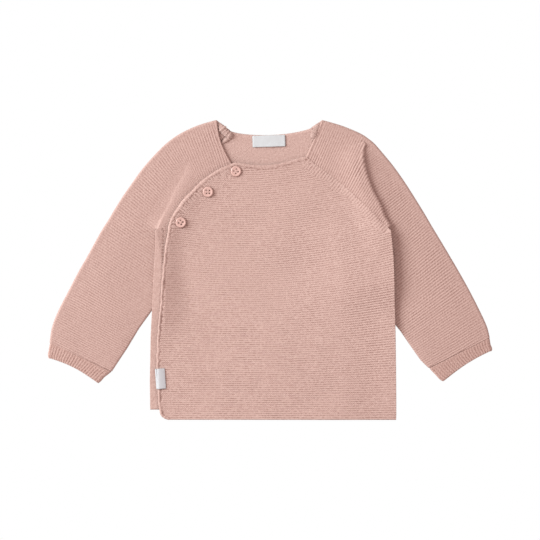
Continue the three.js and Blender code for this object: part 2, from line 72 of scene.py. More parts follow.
HIDDEN_PAINTED_SHADE = 0.7  # shade of the hidden skin, from 0 in a hollow to 1 on a ridge

# The outline's rightmost and lowest places on the top front, which tie these tables to the frame.
OVER_RIGHT = 126.4
OVER_HEM = 1.0


def table(names, text):
    """A table with named columns, one row of numbers per line."""
    rows = np.array([line.split() for line in text.strip().splitlines()], float)
    return dict(zip(names.split(), rows.T))


def edge_points(rows, edge, *which):
    """Some rows of a table's edge, as a list of points."""
    return [(rows[edge + "x"][i], rows[edge + "y"][i]) for i in which]


OVER = table(
    "lx ly rx ry",
    """
    -101.5   1.3  126.2   1.0
    -108.3   4.6  126.4   6.5
    -110.6  13    126.4  15
    -112    27    126.3  29
    -113    56    126    58
    -112.3  84    125.5  90
    -110   112    124.7 116
    -107.5 141    124.3 140
    -105.5 165    123.5 163
    -102.6 184    122.1 179
    -100   198    120.6 190.6
    -96    208    110.2 200.3
    -87    220.8   96.6 215.1
    -74    234.5   76.1 233.8
    -64.5  243.2   65.7 242
    -55    249.6   57.7 248
    -45.5  254.5   49.6 254
    -36    258.2   35.8 264.8
    """,
)
UNDER = table(
    "lx ly rx ry",
    """
    -119.9  11.3  60  11
    -120.3  40    60  40
    -119.5  84    60  84
    -118   111    60 111
    -116.6 140    60 136
    -115.2 165    59 160
    -114.4 184    55 177
    -115.2 190.4  52 183
    -101   201.7  44 200
     -90.2 212.1  30 213
     -78.2 223.6  12 223.5
     -63.7 236.1 -10 234
     -45.8 249.1 -28 243
    """,
)
BACK = table(
    "lx ly rx ry",
    """
    -119.6  11.8 125.8   2.6
    -120    40   125.8  40
    -119.2  84   125.1  90
    -117.7 111   124.3 116
    -116.3 140   123.9 140
    -114.9 165   123.6 163
    -113.6 188.7 120.2 190.6
    -100.6 201.1 110.2 200.4
     -90.6 214.6  98.6 215.6
     -82.6 234.6  83.6 235.6
     -69.6 254.6  70.6 254.6
     -52.6 275.6  53.6 275.6
     -40.3 291    42   294.2
    """,
)
# Sleeves from the neck down: o outer fold, k fold of the shoulder pleat, f front end, b back end.
LEFT = table(
    "ox oy kx ky fx fy bx by",
    """
     -53   301    -47   283    -37.5 256.6  -40.6 291.4
     -72   295.4  -62   276    -46   249.5  -53   276
     -90   287    -76   266    -57   241.5  -64.6 261.7
    -104   277    -82.5 259    -66   234.6  -76.5 245
    -117   264    -86   250    -73   228.6  -85   230
    -129   250    -95.5 231.5  -86.5 216.3  -90   217.4
    -139   236   -101   218.5  -94.3 208.5  -97   206.9
    -148   223   -108.2 203.8 -103.6 199.1 -105.7 197.2
    -155.5 211   -113.8 189   -112.6 187.2 -112.6 187.2
    -162   200   -115.2 176   -111.7 173.5 -111.7 173.5
    -169   189   -114.5 161   -109   158   -109   158
    -182   165.5 -123.5 136.2 -107   128   -107   128
    -192.5 147   -136.7 116.2 -121   107.5 -121   107.5
    -201   130.5 -146.8 101.2 -131.5  93   -131.5  93
    -212   109   -158.6  80.9 -143.5  73   -143.5  73
    -218    93   -166.1  68   -151.5  61   -151.5  61
    -220.2  78.1 -172.5  55.8 -159    49.5 -159    49.5
    """,
)
RIGHT = table(
    "ox oy kx ky fx fy bx by",
    """
     51.6 301    46.1 286.4  36.2 265.2  42.4 294.6
     72   295    65.4 282.6  50   254.4  54   276
     90   287.5  84.4 276.9  66.1 242.4  71   255
     99   281.6  94.2 278    73.5 236.6  79.3 242.8
    104.5 277    92.6 267.5  77.2 233.6  84.2 235.7
    111.5 269    93.4 257.5  80.6 230.5  87.4 231.3
    122   256.3  96.8 243.5  87.8 223.9  92.3 224.7
    131.2 243.7 102.2 229.2  96.5 216    97.1 218.5
       139.3 231.5 109.3 215.4 105.1 206.7 103.3 210.4
    146.5 220   113.8 203.8 112.9 198.5 110.6 200.8
    154.5 207   120.4 191.8 120.4 190.8 120.4 190.8
    160   197.5 120.5 178.6 112.5 174.7 112.5 174.7
    166   187.5 117   163.8 103   157   103   157
    178   167.5 119   138.4 102   130   102   130
    190   147   134   115.7 117.5 106.5 117.5 106.5
    201   127   146    98.9 130.5  91   130.5  91
    212   105   158    80.4 142.5  73.5 142.5  73.5
    217    93.5 165.5  68.5 151    61.5 151    61.5
    219.6  83   172.8  59.7 159.6  53.1 159.6  53.1
    """,
)
# How a sleeve's ridges fan out, row by row of the tables above: their slope in degrees and their
# spacing at the outer fold, and the slope on the right yoke.
LEFT_RIDGES = table(
    "slope pitch",
    """
    -71   2.6
    -70   2.7
    -66.5 2.8
    -57   2.8
    -50   2.8
    -44.5 2.8
    -41   2.8
    -38.5 2.8
    -36.8 2.75
    -35.2 2.7
    -33.8 2.65
    -32.2 2.6
    -30.5 2.5
    -28.9 2.4
    -27.7 2.3
    -27   2.25
    -26.5 2.2
    """,
)
RIGHT_RIDGES = table(
    "slope pitch yoke",
    """
    66   2.5  66
    64   2.5  67
    61   2.5  65
    54   2.4  64
    44   2.4  63
    35   2.3  61
    31   2.25 59
    33.5 2.25 56
    37.5 2.3  52
    40.5 2.4  48
    41   2.5  45
    40.5 2.65 45
    39   2.7  45
    37.8 2.75 45
    36.5 2.75 45
    34.5 2.65 45
    32   2.6  45
    30.5 2.6  45
    29.5 2.6  45
    """,
)
YOKE_PITCH = 2.35
LEFT_CLOSED = 8  # row at which a sleeve becomes a closed tube
RIGHT_CLOSED = 10
LEFT_PLEAT = 2.4  # row at which a sleeve's pleat starts
RIGHT_PLEAT = 1.8
LEFT_CUFF = table(
    "ox oy kx ky fx fy bx by",
    """
    -219.6 78.4 -189.3 64   -159   49.8 -159   49.8
    -221   70.6 -193.7 57.4 -166.4 44.2 -166.4 44.2
    -221.8 66   -195.8 53   -169.9 40   -169.9 40
    -220.6 62.8 -196.6 50.4 -172.6 38.1 -172.6 38.1
    """,
)
RIGHT_CUFF = table(
    "ox oy kx ky fx fy bx by",
    """
    219.3 83.2 189.5 68.3 159.7 53.4 159.7 53.4
    220.2 76.6 193.1 61.7 166   46.8 166   46.8
    221.8 72.6 196.2 57.2 170.6 41.8 170.6 41.8
    221.2 70.2 197.6 55.1 174   40   174   40
    """,
)
LEFT_WRIST_BOW = 3  # how far the middle of a cuff's wrist edge curves up
RIGHT_WRIST_BOW = 2.4
RIBS = 22  # across a cuff
LEFT_ARMPIT = (-113.9, 188.7)
RIGHT_ARMPIT_Y = 190.6
# Folds whose pleat raises the cloth beside them, and the tubes that the panels lie over.
LEFT_FOLD = [
    (-81.5, 262), (-84.5, 256), (-88.4, 246), (-92.5, 235.5), (-99, 218), (-106.8, 202.5),
    (-112.4, 191.6), LEFT_ARMPIT, *edge_points(UNDER, "l", 5, 4, 3),
]
RIGHT_FOLD = [
    (95.5, 276), (94.2, 265), (95.8, 251), (102, 232), (111.8, 211), (119.6, 195),
    *edge_points(OVER, "r", 10, 9, 8, 7, 6),
]
LEFT_TUBE = [
    (-114.4, 189.1), *edge_points(LEFT, "f", 10, 11), (-108, 0), (-220, 0),
    *edge_points(LEFT, "o", 8),
]
RIGHT_TUBE = [
    (121.2, 191), *edge_points(RIGHT, "f", 12, 13, 14, 15, 16, 18),
    *edge_points(RIGHT, "o", 18, 16, 15, 14, 13, 12, 10),
]
RIGHT_SIDE = [*edge_points(OVER, "r", 0, 2, 4, 5, 6, 7), (122.6, 179)]
UNDER_OUTLINE = [
    *edge_points(LEFT, "o", 0, 1), (-97, 283), (-113, 268), (-131, 247), (-144, 228.5),
    LEFT_ARMPIT, *edge_points(UNDER, "l", 5, 4, 3, 2, 1, 0),
    *edge_points(UNDER, "r", 0, 1, 2, 3, 4, 5), (54, 181),
    *edge_points(UNDER, "r", 8, 9, 10, 11, 12), *edge_points(LEFT, "f", 0),
]
LEFT_PLEAT_SHARE = 0.22  # height of the left pleat, as a share of the right one's
NECK_DIP = 5.5  # sag of the front neckline
BACK_DIP = 6.4  # sag of the back neckline
NECK_BOW = 3.3  # curve of the left sleeve's neck edge

BUTTONS = [
    ("button_1", -34, 249.6, 80),
    ("button_2", -62, 229, 45),
    ("button_3", -89, 198.5, 12),
]
BUTTON_SHADE = 5.5  # radius of the painted shadow line round a button
NECK_LABEL = dict(x=-1, y=280, wide=33, high=11.6, turn=1.8)
FLAG_LABEL = dict(x=-109.4, y=42.3, wide=9.8, high=20.5, turn=4)


def ease(t):
    t = np.clip(t, 0, 1)
    return t * t * (3 - 2 * t)


def mix(a, b, t):
    return a + (b - a) * t


def dome(t):
    """0 at 0, rising as a quarter circle to 1 at 1."""
    return np.sqrt(np.maximum(0, 1 - (1 - np.clip(t, 0, 1)) ** 2))


def bell(t):
    """1 at 0, falling away to both sides."""
    return np.exp(-(t**2))


def noise(x, y, size, seed):
    """Smooth seeded noise from -1 to 1 whose lumps are about "size" across."""
    grid = np.random.default_rng(seed).uniform(-1, 1, (64, 64))
    fx, fy = np.asarray(x) / size, np.asarray(y) / size
    ix, iy = np.floor(fx).astype(int), np.floor(fy).astype(int)
    tx, ty = ease(fx - ix), ease(fy - iy)

    def at(a, b):
        return grid[(iy + b) % 64, (ix + a) % 64]

    return mix(mix(at(0, 0), at(1, 0), tx), mix(at(0, 1), at(1, 1), tx), ty)


def straight(rows, name, t):
    """A column at row positions t, in straight lines from row to row."""
    return np.interp(t, np.arange(len(rows[name])), rows[name])


def smooth(rows, name, t):
    """A column at row positions t, in a smooth curve through the rows."""
    column = rows[name]
    last = len(column) - 1
    row = np.minimum(np.floor(t).astype(int), last - 1)
    s = t - row
    a, b, c, d = (column[np.clip(row + k, 0, last)] for k in (-1, 0, 1, 2))
    square = 2 * a - 5 * b + 4 * c - d
    cube = 3 * b - a - 3 * c + d
    return 0.5 * (2 * b + (c - a) * s + square * s * s + cube * s**3)


def near(x, y, line):
    """Distance from points to a line of points, and how far along the line the nearest place is."""
    line = np.asarray(line, float)
    starts, runs = line[:-1], np.diff(line, axis=0)
    lengths = np.maximum(np.hypot(runs[:, 0], runs[:, 1]), 1e-6)
    before = np.concatenate([[0], np.cumsum(lengths)[:-1]])
    best = np.full(np.shape(x), 1e9)
    along = np.zeros(np.shape(x))
    for (ax, ay), (dx, dy), length, start in zip(starts, runs, lengths, before):
        t = np.clip(((x - ax) * dx + (y - ay) * dy) / length**2, 0, 1)
        gap = np.hypot(x - ax - t * dx, y - ay - t * dy)
        closer = gap < best
        best = np.where(closer, gap, best)
        along = np.where(closer, start + t * length, along)
    return best, along


def inside(x, y, outline):
    """Which points are inside a closed outline."""
    within = np.zeros(np.shape(x), bool)
    for (ax, ay), (bx, by) in zip(outline, outline[1:] + outline[:1]):
        if ay != by:
            within ^= ((ay > y) != (by > y)) & (x < ax + (y - ay) * (bx - ax) / (by - ay))
    return within


def climb(x, y, outline, clear, ramp):
    """1 over an outline and "clear" beyond it, falling softly to 0 at "ramp"."""
    gap = near(x, y, outline + outline[:1])[0]
    return np.where(inside(x, y, outline), 1.0, ease(1 - (gap - clear) / (ramp - clear)))


STRAIGHT_FALL = 0.43  # share of its way down over which cloth falls in a straight line


def drape(x, y, outline, clear, ramp):
    """Share of its height left in cloth that falls beside a tube: straight, then a soft landing."""
    gap = near(x, y, outline + outline[:1])[0]
    u = np.clip((gap - clear) / (ramp - clear), 0, 1)
    slope = 2 / (1 + STRAIGHT_FALL)
    landing = slope * (1 - u) ** 2 / (2 * (1 - STRAIGHT_FALL))
    return np.where(inside(x, y, outline), 1.0, np.where(u < STRAIGHT_FALL, 1 - slope * u, landing))


DRAPE_RAMP = 24  # how far from a tube the lowest cloth over it comes to rest
LAYER_RAMP = 3  # and how much farther each layer above it does
RIGHT_SLACK = 2.6  # how many times farther the cloth on the right does
LEFT_TUBE_LOW = 70  # height above the hem below which the left tube raises nothing
LEFT_TUBE_FADE = 50  # and the length over which its effect then grows


def over_tubes(x, y, above):
    """Share of a tube's height that cloth is raised by it. "above" is the cloth's layer, from 0."""
    ramp = DRAPE_RAMP + LAYER_RAMP * above
    left = drape(x, y, LEFT_TUBE, above, ramp) * ease((y - LEFT_TUBE_LOW) / LEFT_TUBE_FADE)
    right = drape(x, y, RIGHT_TUBE, above, RIGHT_SLACK * ramp)
    return np.where(x < 0, left, right)


PLEAT_REACH = 34  # how far beside its fold a pleat raises the cloth
PLEAT_LOW, LEFT_PLEAT_LOW = 150, 184  # height at which the pleats' rise ends
PLEAT_FADE = 30  # and over what length it does
# Where each pleat's rise starts and where it is full, from the neck down.
LEFT_RISE = (262, 216)
RIGHT_RISE = (285, 258)


def by_pleat(x, y):
    """Share of a tube's height that cloth is raised by the shoulder pleats."""

    def one(fold, share, start, grown):
        beside = ease(1 - near(x, y, fold)[0] / PLEAT_REACH)
        begun = ease((start - y) / (start - grown))
        return share * beside * begun * ease((y - PLEAT_LOW) / PLEAT_FADE)

    left = one(LEFT_FOLD, LEFT_PLEAT_SHARE, *LEFT_RISE) * ease((y - LEFT_PLEAT_LOW) / PLEAT_FADE)
    return np.where(x < 0, left, one(RIGHT_FOLD, 1.0, *RIGHT_RISE))


def raised(x, y, above):
    return 1 - (1 - over_tubes(x, y, above)) * (1 - by_pleat(x, y))


# The roll of cloth beside the right pleat's fold (yoke), which turns into the one down the side.
ROLL_TURNS, ROLL_TURN_FADE = 205, 20  # height below which it is the side's, and over what length
BACK_ROLL_FADE = 15  # the same length on the back
YOKE_REACH, SIDE_REACH = 18, 48  # how far each reaches from the fold
YOKE_DITCH, SIDE_DITCH = 0.9, 0.12  # share of each that is missing right at the fold
DITCH_REACH = 7
ROLL_TOP, ROLL_TOP_FADE = 284, 34
ROLL_LOW, ROLL_LOW_FADE = 105, 40


def fold_roll(x, y):
    """Height of the soft roll beside the right pleat's fold and down the side below it."""
    gap = near(x, y, RIGHT_FOLD)[0]
    low = ease((ROLL_TURNS - y) / ROLL_TURN_FADE)
    beside = np.exp(-gap / mix(YOKE_REACH, SIDE_REACH, low))
    beside = beside - mix(YOKE_DITCH, SIDE_DITCH, low) * bell(gap / DITCH_REACH)
    high = mix(YOKE_ROLL, SIDE_ROLL, low) * beside
    return high * ease((ROLL_TOP - y) / ROLL_TOP_FADE) * ease((y - ROLL_LOW) / ROLL_LOW_FADE)


def back_height(x, y):
    roll = fold_roll(x, y) * ease((ROLL_TURNS - y) / BACK_ROLL_FADE)
    return TUBE_STEP * over_tubes(x, y, 0) + roll + WALL / 2


def under_height(x, y):
    return LAYER + TUBE_STEP * raised(x, y, 1) + WALL / 2


STEP_CLEAR, STEP_RAMP = 10, 50  # how the top front comes down past the lower front's edge
BELLY = 0.9  # how much the lower body swells inside its side seam
BELLY_REACH, BELLY_TOP, BELLY_FADE = 16, 150, 60


def over_height(x, y):
    layers = LAYER + LAYER * climb(x, y, UNDER_OUTLINE, STEP_CLEAR, STEP_RAMP)
    belly = BELLY * (1 - np.exp(-near(x, y, RIGHT_SIDE)[0] / BELLY_REACH))
    belly = belly * ease((BELLY_TOP - y) / BELLY_FADE)
    return layers + TUBE_STEP * raised(x, y, 2) + fold_roll(x, y) + belly + WALL / 2


def settle(x, y, z):
    """Slow unevenness of cloth at rest, in step on every layer so that layers stay apart."""
    wave = 0.1 * noise(x, y, 62, 3) + 0.05 * noise(x, y, 27, 4)
    return z * (1 + wave)


low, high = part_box("front_over")
SHIFT_X = OVER_RIGHT - high.x / MM
SHIFT_Y = OVER_HEM - low.y / MM


def to_frame(places):
    return (np.asarray(places, float) - (SHIFT_X, SHIFT_Y, 0)) * MM


def garter(phase):
    """Height of a garter ridge, 0 to 1, at a phase counted in ridges."""
    return np.sqrt(np.abs(np.cos(np.pi * phase)))


# How far a ridge of the body has climbed at its right end, by its height above the hem.
CLIMB = table(
    "y high",
    """
      0  0
     30  2
     80  6
    130 12
    180 17
    230 19
    """,
)


def ridge_climb(x, y):
    """How far the body's ridges climb to the right and, a little, to the left."""
    right = np.clip((x + 25) / 130, 0, 2) ** 1.75
    left = 0.15 * np.clip((-25 - x) / 50, 0, 1.3) ** 2
    return (right + left) * np.interp(y, CLIMB["y"], CLIMB["high"])


HALVINGS = 24  # in the search for the ridge that a point is on


def fan(x, y, line, slope, pitch):
    """Counts ridges over a fan of them, from where it crosses a line of points."""
    way = np.stack([np.cos(np.radians(slope)), np.sin(np.radians(slope))], -1)
    run = np.diff(line, axis=0)
    passed = np.abs(run[:, 0] * way[1:, 1] - run[:, 1] * way[1:, 0]) / pitch[1:]
    count = np.concatenate([[0], np.cumsum(passed)])
    places = np.arange(len(line))

    def beyond(place):
        px, py, wx, wy = (np.interp(place, places, column) for column in (*line.T, *way.T))
        return (x - px) * wy - (y - py) * wx

    start, end = np.zeros(x.shape), np.full(x.shape, len(line) - 1.0)
    forward = np.sign(beyond(end * 0.0) - beyond(end)).mean()
    for _ in range(HALVINGS):
        middle = (start + end) / 2
        later = beyond(middle) * forward > 0
        start, end = np.where(later, middle, start), np.where(later, end, middle)
    left_over = beyond(start) * forward / np.interp(start, places, pitch)
    return np.interp(start, places, count) + left_over


def wander(x, y, seed):
    """How far ridges stray from their course, in ridges."""
    return 0.09 * noise(x, y, 17, seed) + 0.05 * noise(x, y, 5, seed + 1)


def link(name, mesh):
    made = bpy.data.objects.new(name, mesh)
    bpy.context.scene.collection.objects.link(made)
    return made


def add_painted_light_shade(mesh, values):
    """Stores the painted light and shade at each point, for the material."""
    painted_light_shade = mesh.attributes.new("painted_light_shade", "FLOAT", "POINT")
    painted_light_shade.data.foreach_set("value", values.astype(np.float32).ravel())


def sheet_mesh(name, mid, pad, lift, uv, ridge, looks, flip=False):
    """One closed thin shell: a fine outer skin, a coarse hidden skin and a rim that they share."""
    rows, cols = mid.shape[:2]
    normal = np.cross(np.gradient(mid, axis=1), np.gradient(mid, axis=0))
    normal /= np.maximum(np.linalg.norm(normal, axis=2, keepdims=True), 1e-9)
    if flip:
        normal = -normal
    pad = pad.copy()
    pad[0] = pad[-1] = 0
    pad[:, 0] = pad[:, -1] = 0
    outer = mid + normal * (pad + lift * np.minimum(1, pad / (WALL / 4)))[..., None]
    inner = mid - normal * pad[..., None]

    ids = np.arange(rows * cols).reshape(rows, cols)
    quads = np.stack([ids[:-1, :-1], ids[:-1, 1:], ids[1:, 1:], ids[1:, :-1]], -1).reshape(-1, 4)
    k = HIDDEN_STEP
    coarse = ids[::k, ::k].copy()
    tall, wide = coarse.shape
    count = (tall - 2) * (wide - 2)
    coarse[1:-1, 1:-1] = rows * cols + np.arange(count).reshape(tall - 2, wide - 2)
    hidden = inner[::k, ::k][1:-1, 1:-1].reshape(-1, 3)
    faces = quads[:, ::-1].tolist() if flip else quads.tolist()
    for a in range(tall - 1):
        for b in range(wide - 1):
            side_low = list(ids[0, b * k + 1 : b * k + k]) if a == 0 else []
            side_right = list(ids[a * k + 1 : a * k + k, -1]) if b == wide - 2 else []
            side_high = list(ids[-1, b * k + 1 : b * k + k])[::-1] if a == tall - 2 else []
            side_left = list(ids[a * k + 1 : a * k + k, 0])[::-1] if b == 0 else []
            ring = [coarse[a, b], *side_low, coarse[a, b + 1], *side_right]
            ring += [coarse[a + 1, b + 1], *side_high, coarse[a + 1, b], *side_left]
            faces.append(ring if flip else ring[::-1])

    mesh = bpy.data.meshes.new(name)
    mesh.from_pydata(to_frame(np.concatenate([outer.reshape(-1, 3), hidden])), [], faces)
    spots = np.concatenate([uv.reshape(-1, 2), uv[::k, ::k][1:-1, 1:-1].reshape(-1, 2)])
    # The ridge values are painted light and shade; the hidden skin gets one even painted shade.
    painted_light_shade = np.concatenate([ridge.reshape(-1), np.full(count, HIDDEN_PAINTED_SHADE)])
    loops = np.empty(len(mesh.loops), np.int32)
    mesh.loops.foreach_get("vertex_index", loops)
    layer = mesh.uv_layers.new(name="cloth")
    layer.data.foreach_set("uv", spots[loops].astype(np.float32).ravel())
    add_painted_light_shade(mesh, painted_light_shade)
    for material in looks:
        mesh.materials.append(material)
    skins = np.zeros(len(faces), np.int32)
    skins[len(quads) :] = len(looks) - 1
    mesh.polygons.foreach_set("material_index", skins)
    mesh.shade_smooth()
    mesh.update()
    return link(name, mesh)


def even(length, first, last, gap):
    """Places from 0 to a length: given ones near both ends, and even ones about "gap" apart."""
    count = int(round((length - first[-1] - last[-1]) / gap))
    count += -(count + len(first) + len(last) - 2) % HIDDEN_STEP
    between = np.linspace(first[-1], length - last[-1], count + 1)[1:-1]
    return np.concatenate([first, between, length - np.array(last)[::-1]])


def panel_plan(rows, across, along, left, right, dip):
    """Plan of a panel: its points, with each column placed at a share of the width."""
    last = len(rows["lx"]) - 1
    fine = np.linspace(0, last, 2000)
    heights = (left(rows, "ly", fine) + right(rows, "ry", fine)) / 2
    places = even(heights[-1] - heights[0], *along)
    t = np.interp(places + heights[0], heights, fine)
    lx, ly = left(rows, "lx", t), left(rows, "ly", t)
    rx, ry = right(rows, "rx", t), right(rows, "ry", t)
    width = rx - lx
    widest = even(width.max(), *across)
    first, final = across[0], across[1]
    middle = np.linspace(0, 1, len(widest) - len(first) - len(final) + 2)
    w = width[:, None]
    between = mix(first[-1] / w, 1 - final[-1] / w, middle[1:-1])
    u = np.concatenate([np.array(first) / w, between, 1 - np.array(final)[::-1] / w], axis=1)
    x = mix(lx[:, None], rx[:, None], u)
    y = mix(ly[:, None], ry[:, None], u) - dip(u, last - t[:, None])
    return x, y


SIDE_POINTS = 110  # about how many points of an edge are used to measure distances from it


def side(x, y, which):
    """One edge of a panel as a line of points."""
    pick = {
        "left": (slice(None), 0),
        "right": (slice(None), -1),
        "low": (0, slice(None)),
        "high": (-1, slice(None)),
    }[which]
    line = np.stack([x[pick], y[pick]], -1)
    step = max(1, len(line) // SIDE_POINTS)
    return np.concatenate([line[:-1:step], line[-1:]])


# ---------------------------------------------------------------- materials


def nodes_of(name):
    material = bpy.data.materials.new(name)
    material.use_nodes = True
    tree = material.node_tree
    tree.nodes.clear()
    shader = tree.nodes.new("ShaderNodeBsdfPrincipled")
    output = tree.nodes.new("ShaderNodeOutputMaterial")
    tree.links.new(shader.outputs["BSDF"], output.inputs["Surface"])
    return material, tree, shader


def set_inputs(node, values):
    for name, value in values.items():
        node.inputs[name].default_value = value


def cloth_places(tree):
    """Place on the object, and the two coordinates of the "cloth" map.

    On knit they are centimetres along a ridge and a count of ridges, on a label millimetres.
    """
    coords = tree.nodes.new("ShaderNodeTexCoord")
    split = tree.nodes.new("ShaderNodeSeparateXYZ")
    tree.links.new(coords.outputs["UV"], split.inputs[0])
    return coords.outputs["Object"], split.outputs["X"], split.outputs["Y"]


def add_bump(tree, shader, height, strength, distance):
    bump = tree.nodes.new("ShaderNodeBump")
    set_inputs(bump, {"Strength": strength, "Distance": distance})
    tree.links.new(height, bump.inputs["Height"])
    tree.links.new(bump.outputs["Normal"], shader.inputs["Normal"])


def math_node(tree, operation, *values):
    node = tree.nodes.new("ShaderNodeMath")
    node.operation = operation
    for socket, value in zip(node.inputs, values):
        if isinstance(value, (int, float)):
            socket.default_value = value
        else:
            tree.links.new(value, socket)
    return node.outputs[0]


def noise_node(tree, vector, scale, detail=2.0):
    node = tree.nodes.new("ShaderNodeTexNoise")
    set_inputs(node, {"Scale": scale, "Detail": detail})
    tree.links.new(vector, node.inputs["Vector"])
    return node.outputs["Fac"]


def colour_mix(tree, factor, a, b):
    node = tree.nodes.new("ShaderNodeMix")
    node.data_type = "RGBA"
    for socket, value in ((node.inputs[0], factor), (node.inputs[6], a), (node.inputs[7], b)):
        if isinstance(value, tuple):
            socket.default_value = (*value, 1)
        else:
            tree.links.new(value, socket)
    return node.outputs[2]


def knit(name, colour, deep, pale, stitch_bump, fuzz_bump, mottle=1.5):
    """Matt yarn: pale ridges, painted shade in the hollows, stitches along each ridge and a soft
    fuzz.
    """
    material, tree, shader = nodes_of(name)
    place, run, course = cloth_places(tree)

    def add(a, b):
        return math_node(tree, "ADD", a, b)

    def times(a, b):
        return math_node(tree, "MULTIPLY", a, b)

    def above(value, level):
        return math_node(tree, "SUBTRACT", value, level)

    # The run is in centimetres. Stitches are staggered by half from one half ridge to the next.
    stagger = times(math_node(tree, "FLOOR", times(course, 2.0)), math.pi)
    turns = times(run, 20 * math.pi / STITCH)
    stray = times(noise_node(tree, place, 260), 2.4)
    stitch = math_node(tree, "SINE", add(add(turns, stagger), stray))
    fuzz = noise_node(tree, place, 1500, 3.0)
    speck = noise_node(tree, place, 620, 2.0)
    cloud = noise_node(tree, place, 34, 2.0)

    # Painted shade: the deep colour is mixed into the hollows by the painted light and shade
    # attribute.
    painted_light_shade = tree.nodes.new("ShaderNodeAttribute")
    painted_light_shade.attribute_name = "painted_light_shade"
    body = colour_mix(tree, painted_light_shade.outputs["Fac"], deep, colour)
    heather = math_node(tree, "MAXIMUM", times(above(speck, 0.38), mottle), 0.0)
    body = colour_mix(tree, heather, body, pale)
    tint = math_node(tree, "MAXIMUM", times(above(cloud, 0.3), 0.35), 0.0)
    body = colour_mix(tree, tint, body, colour)
    tree.links.new(body, shader.inputs["Base Color"])
    set_inputs(shader, {"Roughness": 0.92, "Specular IOR Level": 0.2})
    sheen = {"Sheen Weight": 0.12, "Sheen Roughness": 0.6, "Sheen Tint": (1, 0.86, 0.82, 1)}
    set_inputs(shader, sheen)
    height = add(times(stitch, stitch_bump), times(fuzz, fuzz_bump))
    add_bump(tree, shader, add(height, times(speck, fuzz_bump * 1.2)), 1.0, MM)
    return material


def ribbon(name, colour):
    """White woven label: fine threads both ways and a faint satin gloss."""
    material, tree, shader = nodes_of(name)
    place, across, along = cloth_places(tree)
    threads = 90.0  # waves of the weave, in radians per millimetre
    weft = math_node(tree, "SINE", math_node(tree, "MULTIPLY", along, threads))
    warp = math_node(tree, "SINE", math_node(tree, "MULTIPLY", across, threads))
    cloud = noise_node(tree, place, 160)
    tone = colour_mix(tree, cloud, tuple(c * 0.96 for c in colour), colour)
    tree.links.new(tone, shader.inputs["Base Color"])
    set_inputs(shader, {"Roughness": 0.6, "Sheen Weight": 0.1})
    add_bump(tree, shader, math_node(tree, "MULTIPLY", weft, warp), 0.5, 0.1 * MM)
    return material


def shell_plastic(name, colour, deep):
    """Pink button plastic with faint clouds and a soft gloss."""
    material, tree, shader = nodes_of(name)
    coords = tree.nodes.new("ShaderNodeTexCoord")
    cloud = noise_node(tree, coords.outputs["Object"], 210, 3.0)
    tree.links.new(colour_mix(tree, cloud, deep, colour), shader.inputs["Base Color"])
    set_inputs(shader, {"Roughness": 0.32, "Coat Weight": 0.25, "Coat Roughness": 0.2})
    add_bump(tree, shader, cloud, 0.15, 0.1 * MM)
    return material


PINK = (0.488, 0.348, 0.311)
# The deep pink is painted shade, for hollows, seams and edges.
PINK_PAINTED_SHADE = (0.240, 0.139, 0.118)
PINK_PALE = (0.545, 0.410, 0.368)
RIB_PINK = (0.432, 0.290, 0.254)
THREAD_PINK = (0.56, 0.40, 0.36)
# Each knit: its colours, the depth of its stitches and of its fuzz in mm, and its mottling.
KNIT = knit("knit", PINK, PINK_PAINTED_SHADE, PINK_PALE, 0.05, 0.2, 2.4)
KNIT_ARM = knit("knit_arm", PINK, PINK_PAINTED_SHADE, PINK_PALE, 0.05, 0.2, 1.3)
KNIT_INSIDE = knit("knit_inside", PINK, PINK_PAINTED_SHADE, PINK_PALE, 0.03, 0.4, 2.4)
RIB = knit("rib", RIB_PINK, PINK_PAINTED_SHADE, PINK_PALE, 0.05, 0.25)
THREAD = knit("thread", THREAD_PINK, THREAD_PINK, THREAD_PINK, 0.0, 0.1)
RIBBON = ribbon("label", (0.48, 0.53, 0.55))
# The side label's tape is a darker copy of the label white, as painted shade.
TAPE_PAINTED_SHADE = ribbon("tape_painted_shade", (0.455, 0.485, 0.51))
KNITTED = [KNIT, KNIT_INSIDE]
ARM_KNITTED = [KNIT_ARM, KNIT_INSIDE]
RIBBED = [RIB, KNIT_INSIDE]
PLASTIC = shell_plastic("button", (0.56, 0.385, 0.345), (0.49, 0.32, 0.28))


# ---------------------------------------------------------------- panels

# Distances from an edge, in from 0, at which a mesh has its first rows or columns.
FINE = [0, 0.35, 0.8, 1.3, 1.9, 2.5, 3.1, 3.8, 4.6]
RAGLAN = [0, 0.13, 0.45, 1.0, 1.7, 2.5, 3.3, 4.1, 4.9, 5.7, 6.5, 7.3, 8.2, 9.2, 10.4, 11.8]
SOFT = [0, 0.4, 1.0, 1.8, 2.8]
FREE = FINE + [5.4, 6.2, 7.0, 7.8, 8.6, 9.4, 10.2, 11.1, 12.1, 13.3, 14.7]
ROW_GAP = PITCH / 4  # between two rows of a panel's mesh
ARM_GAP = 0.8  # between two rows of a sleeve's mesh, along its outer fold


HEM = [0, 0.4, 1.0, 1.7]
ALONG = (HEM, FINE, ROW_GAP)
TURNED_BAND = 9  # width of the band beside an edge in which the ridges follow it
SAG_ROWS = 2.6  # rows of a table, from its top, over which a neckline's sag fades
BAND_BLEND = 2.5  # over what length they change to the ridges across the body


def edge_pad(distances):
    """Half of the cloth's thickness, rounded off towards each edge."""
    share = 1.0
    for gap, radius in distances:
        share = np.minimum(share, dome(gap / radius))
    return share * WALL / 2


def unevenness(x, y, seed):
    """How pronounced ridges are from place to place."""
    return 0.75 + 0.25 * noise(x, y, 21, seed)


def cloth_uv(run, course):
    """Place on the "cloth" map: centimetres along a ridge, and ridges across them."""
    return np.stack([run / 10, course], -1)


def shade(height, strength, contrast):
    """Painted shade of the yarn, from 0 in a hollow between ridges to 1 on a ridge."""
    return PLAIN_SHADE + (height**4 - 0.5) * np.minimum(1, strength) * contrast


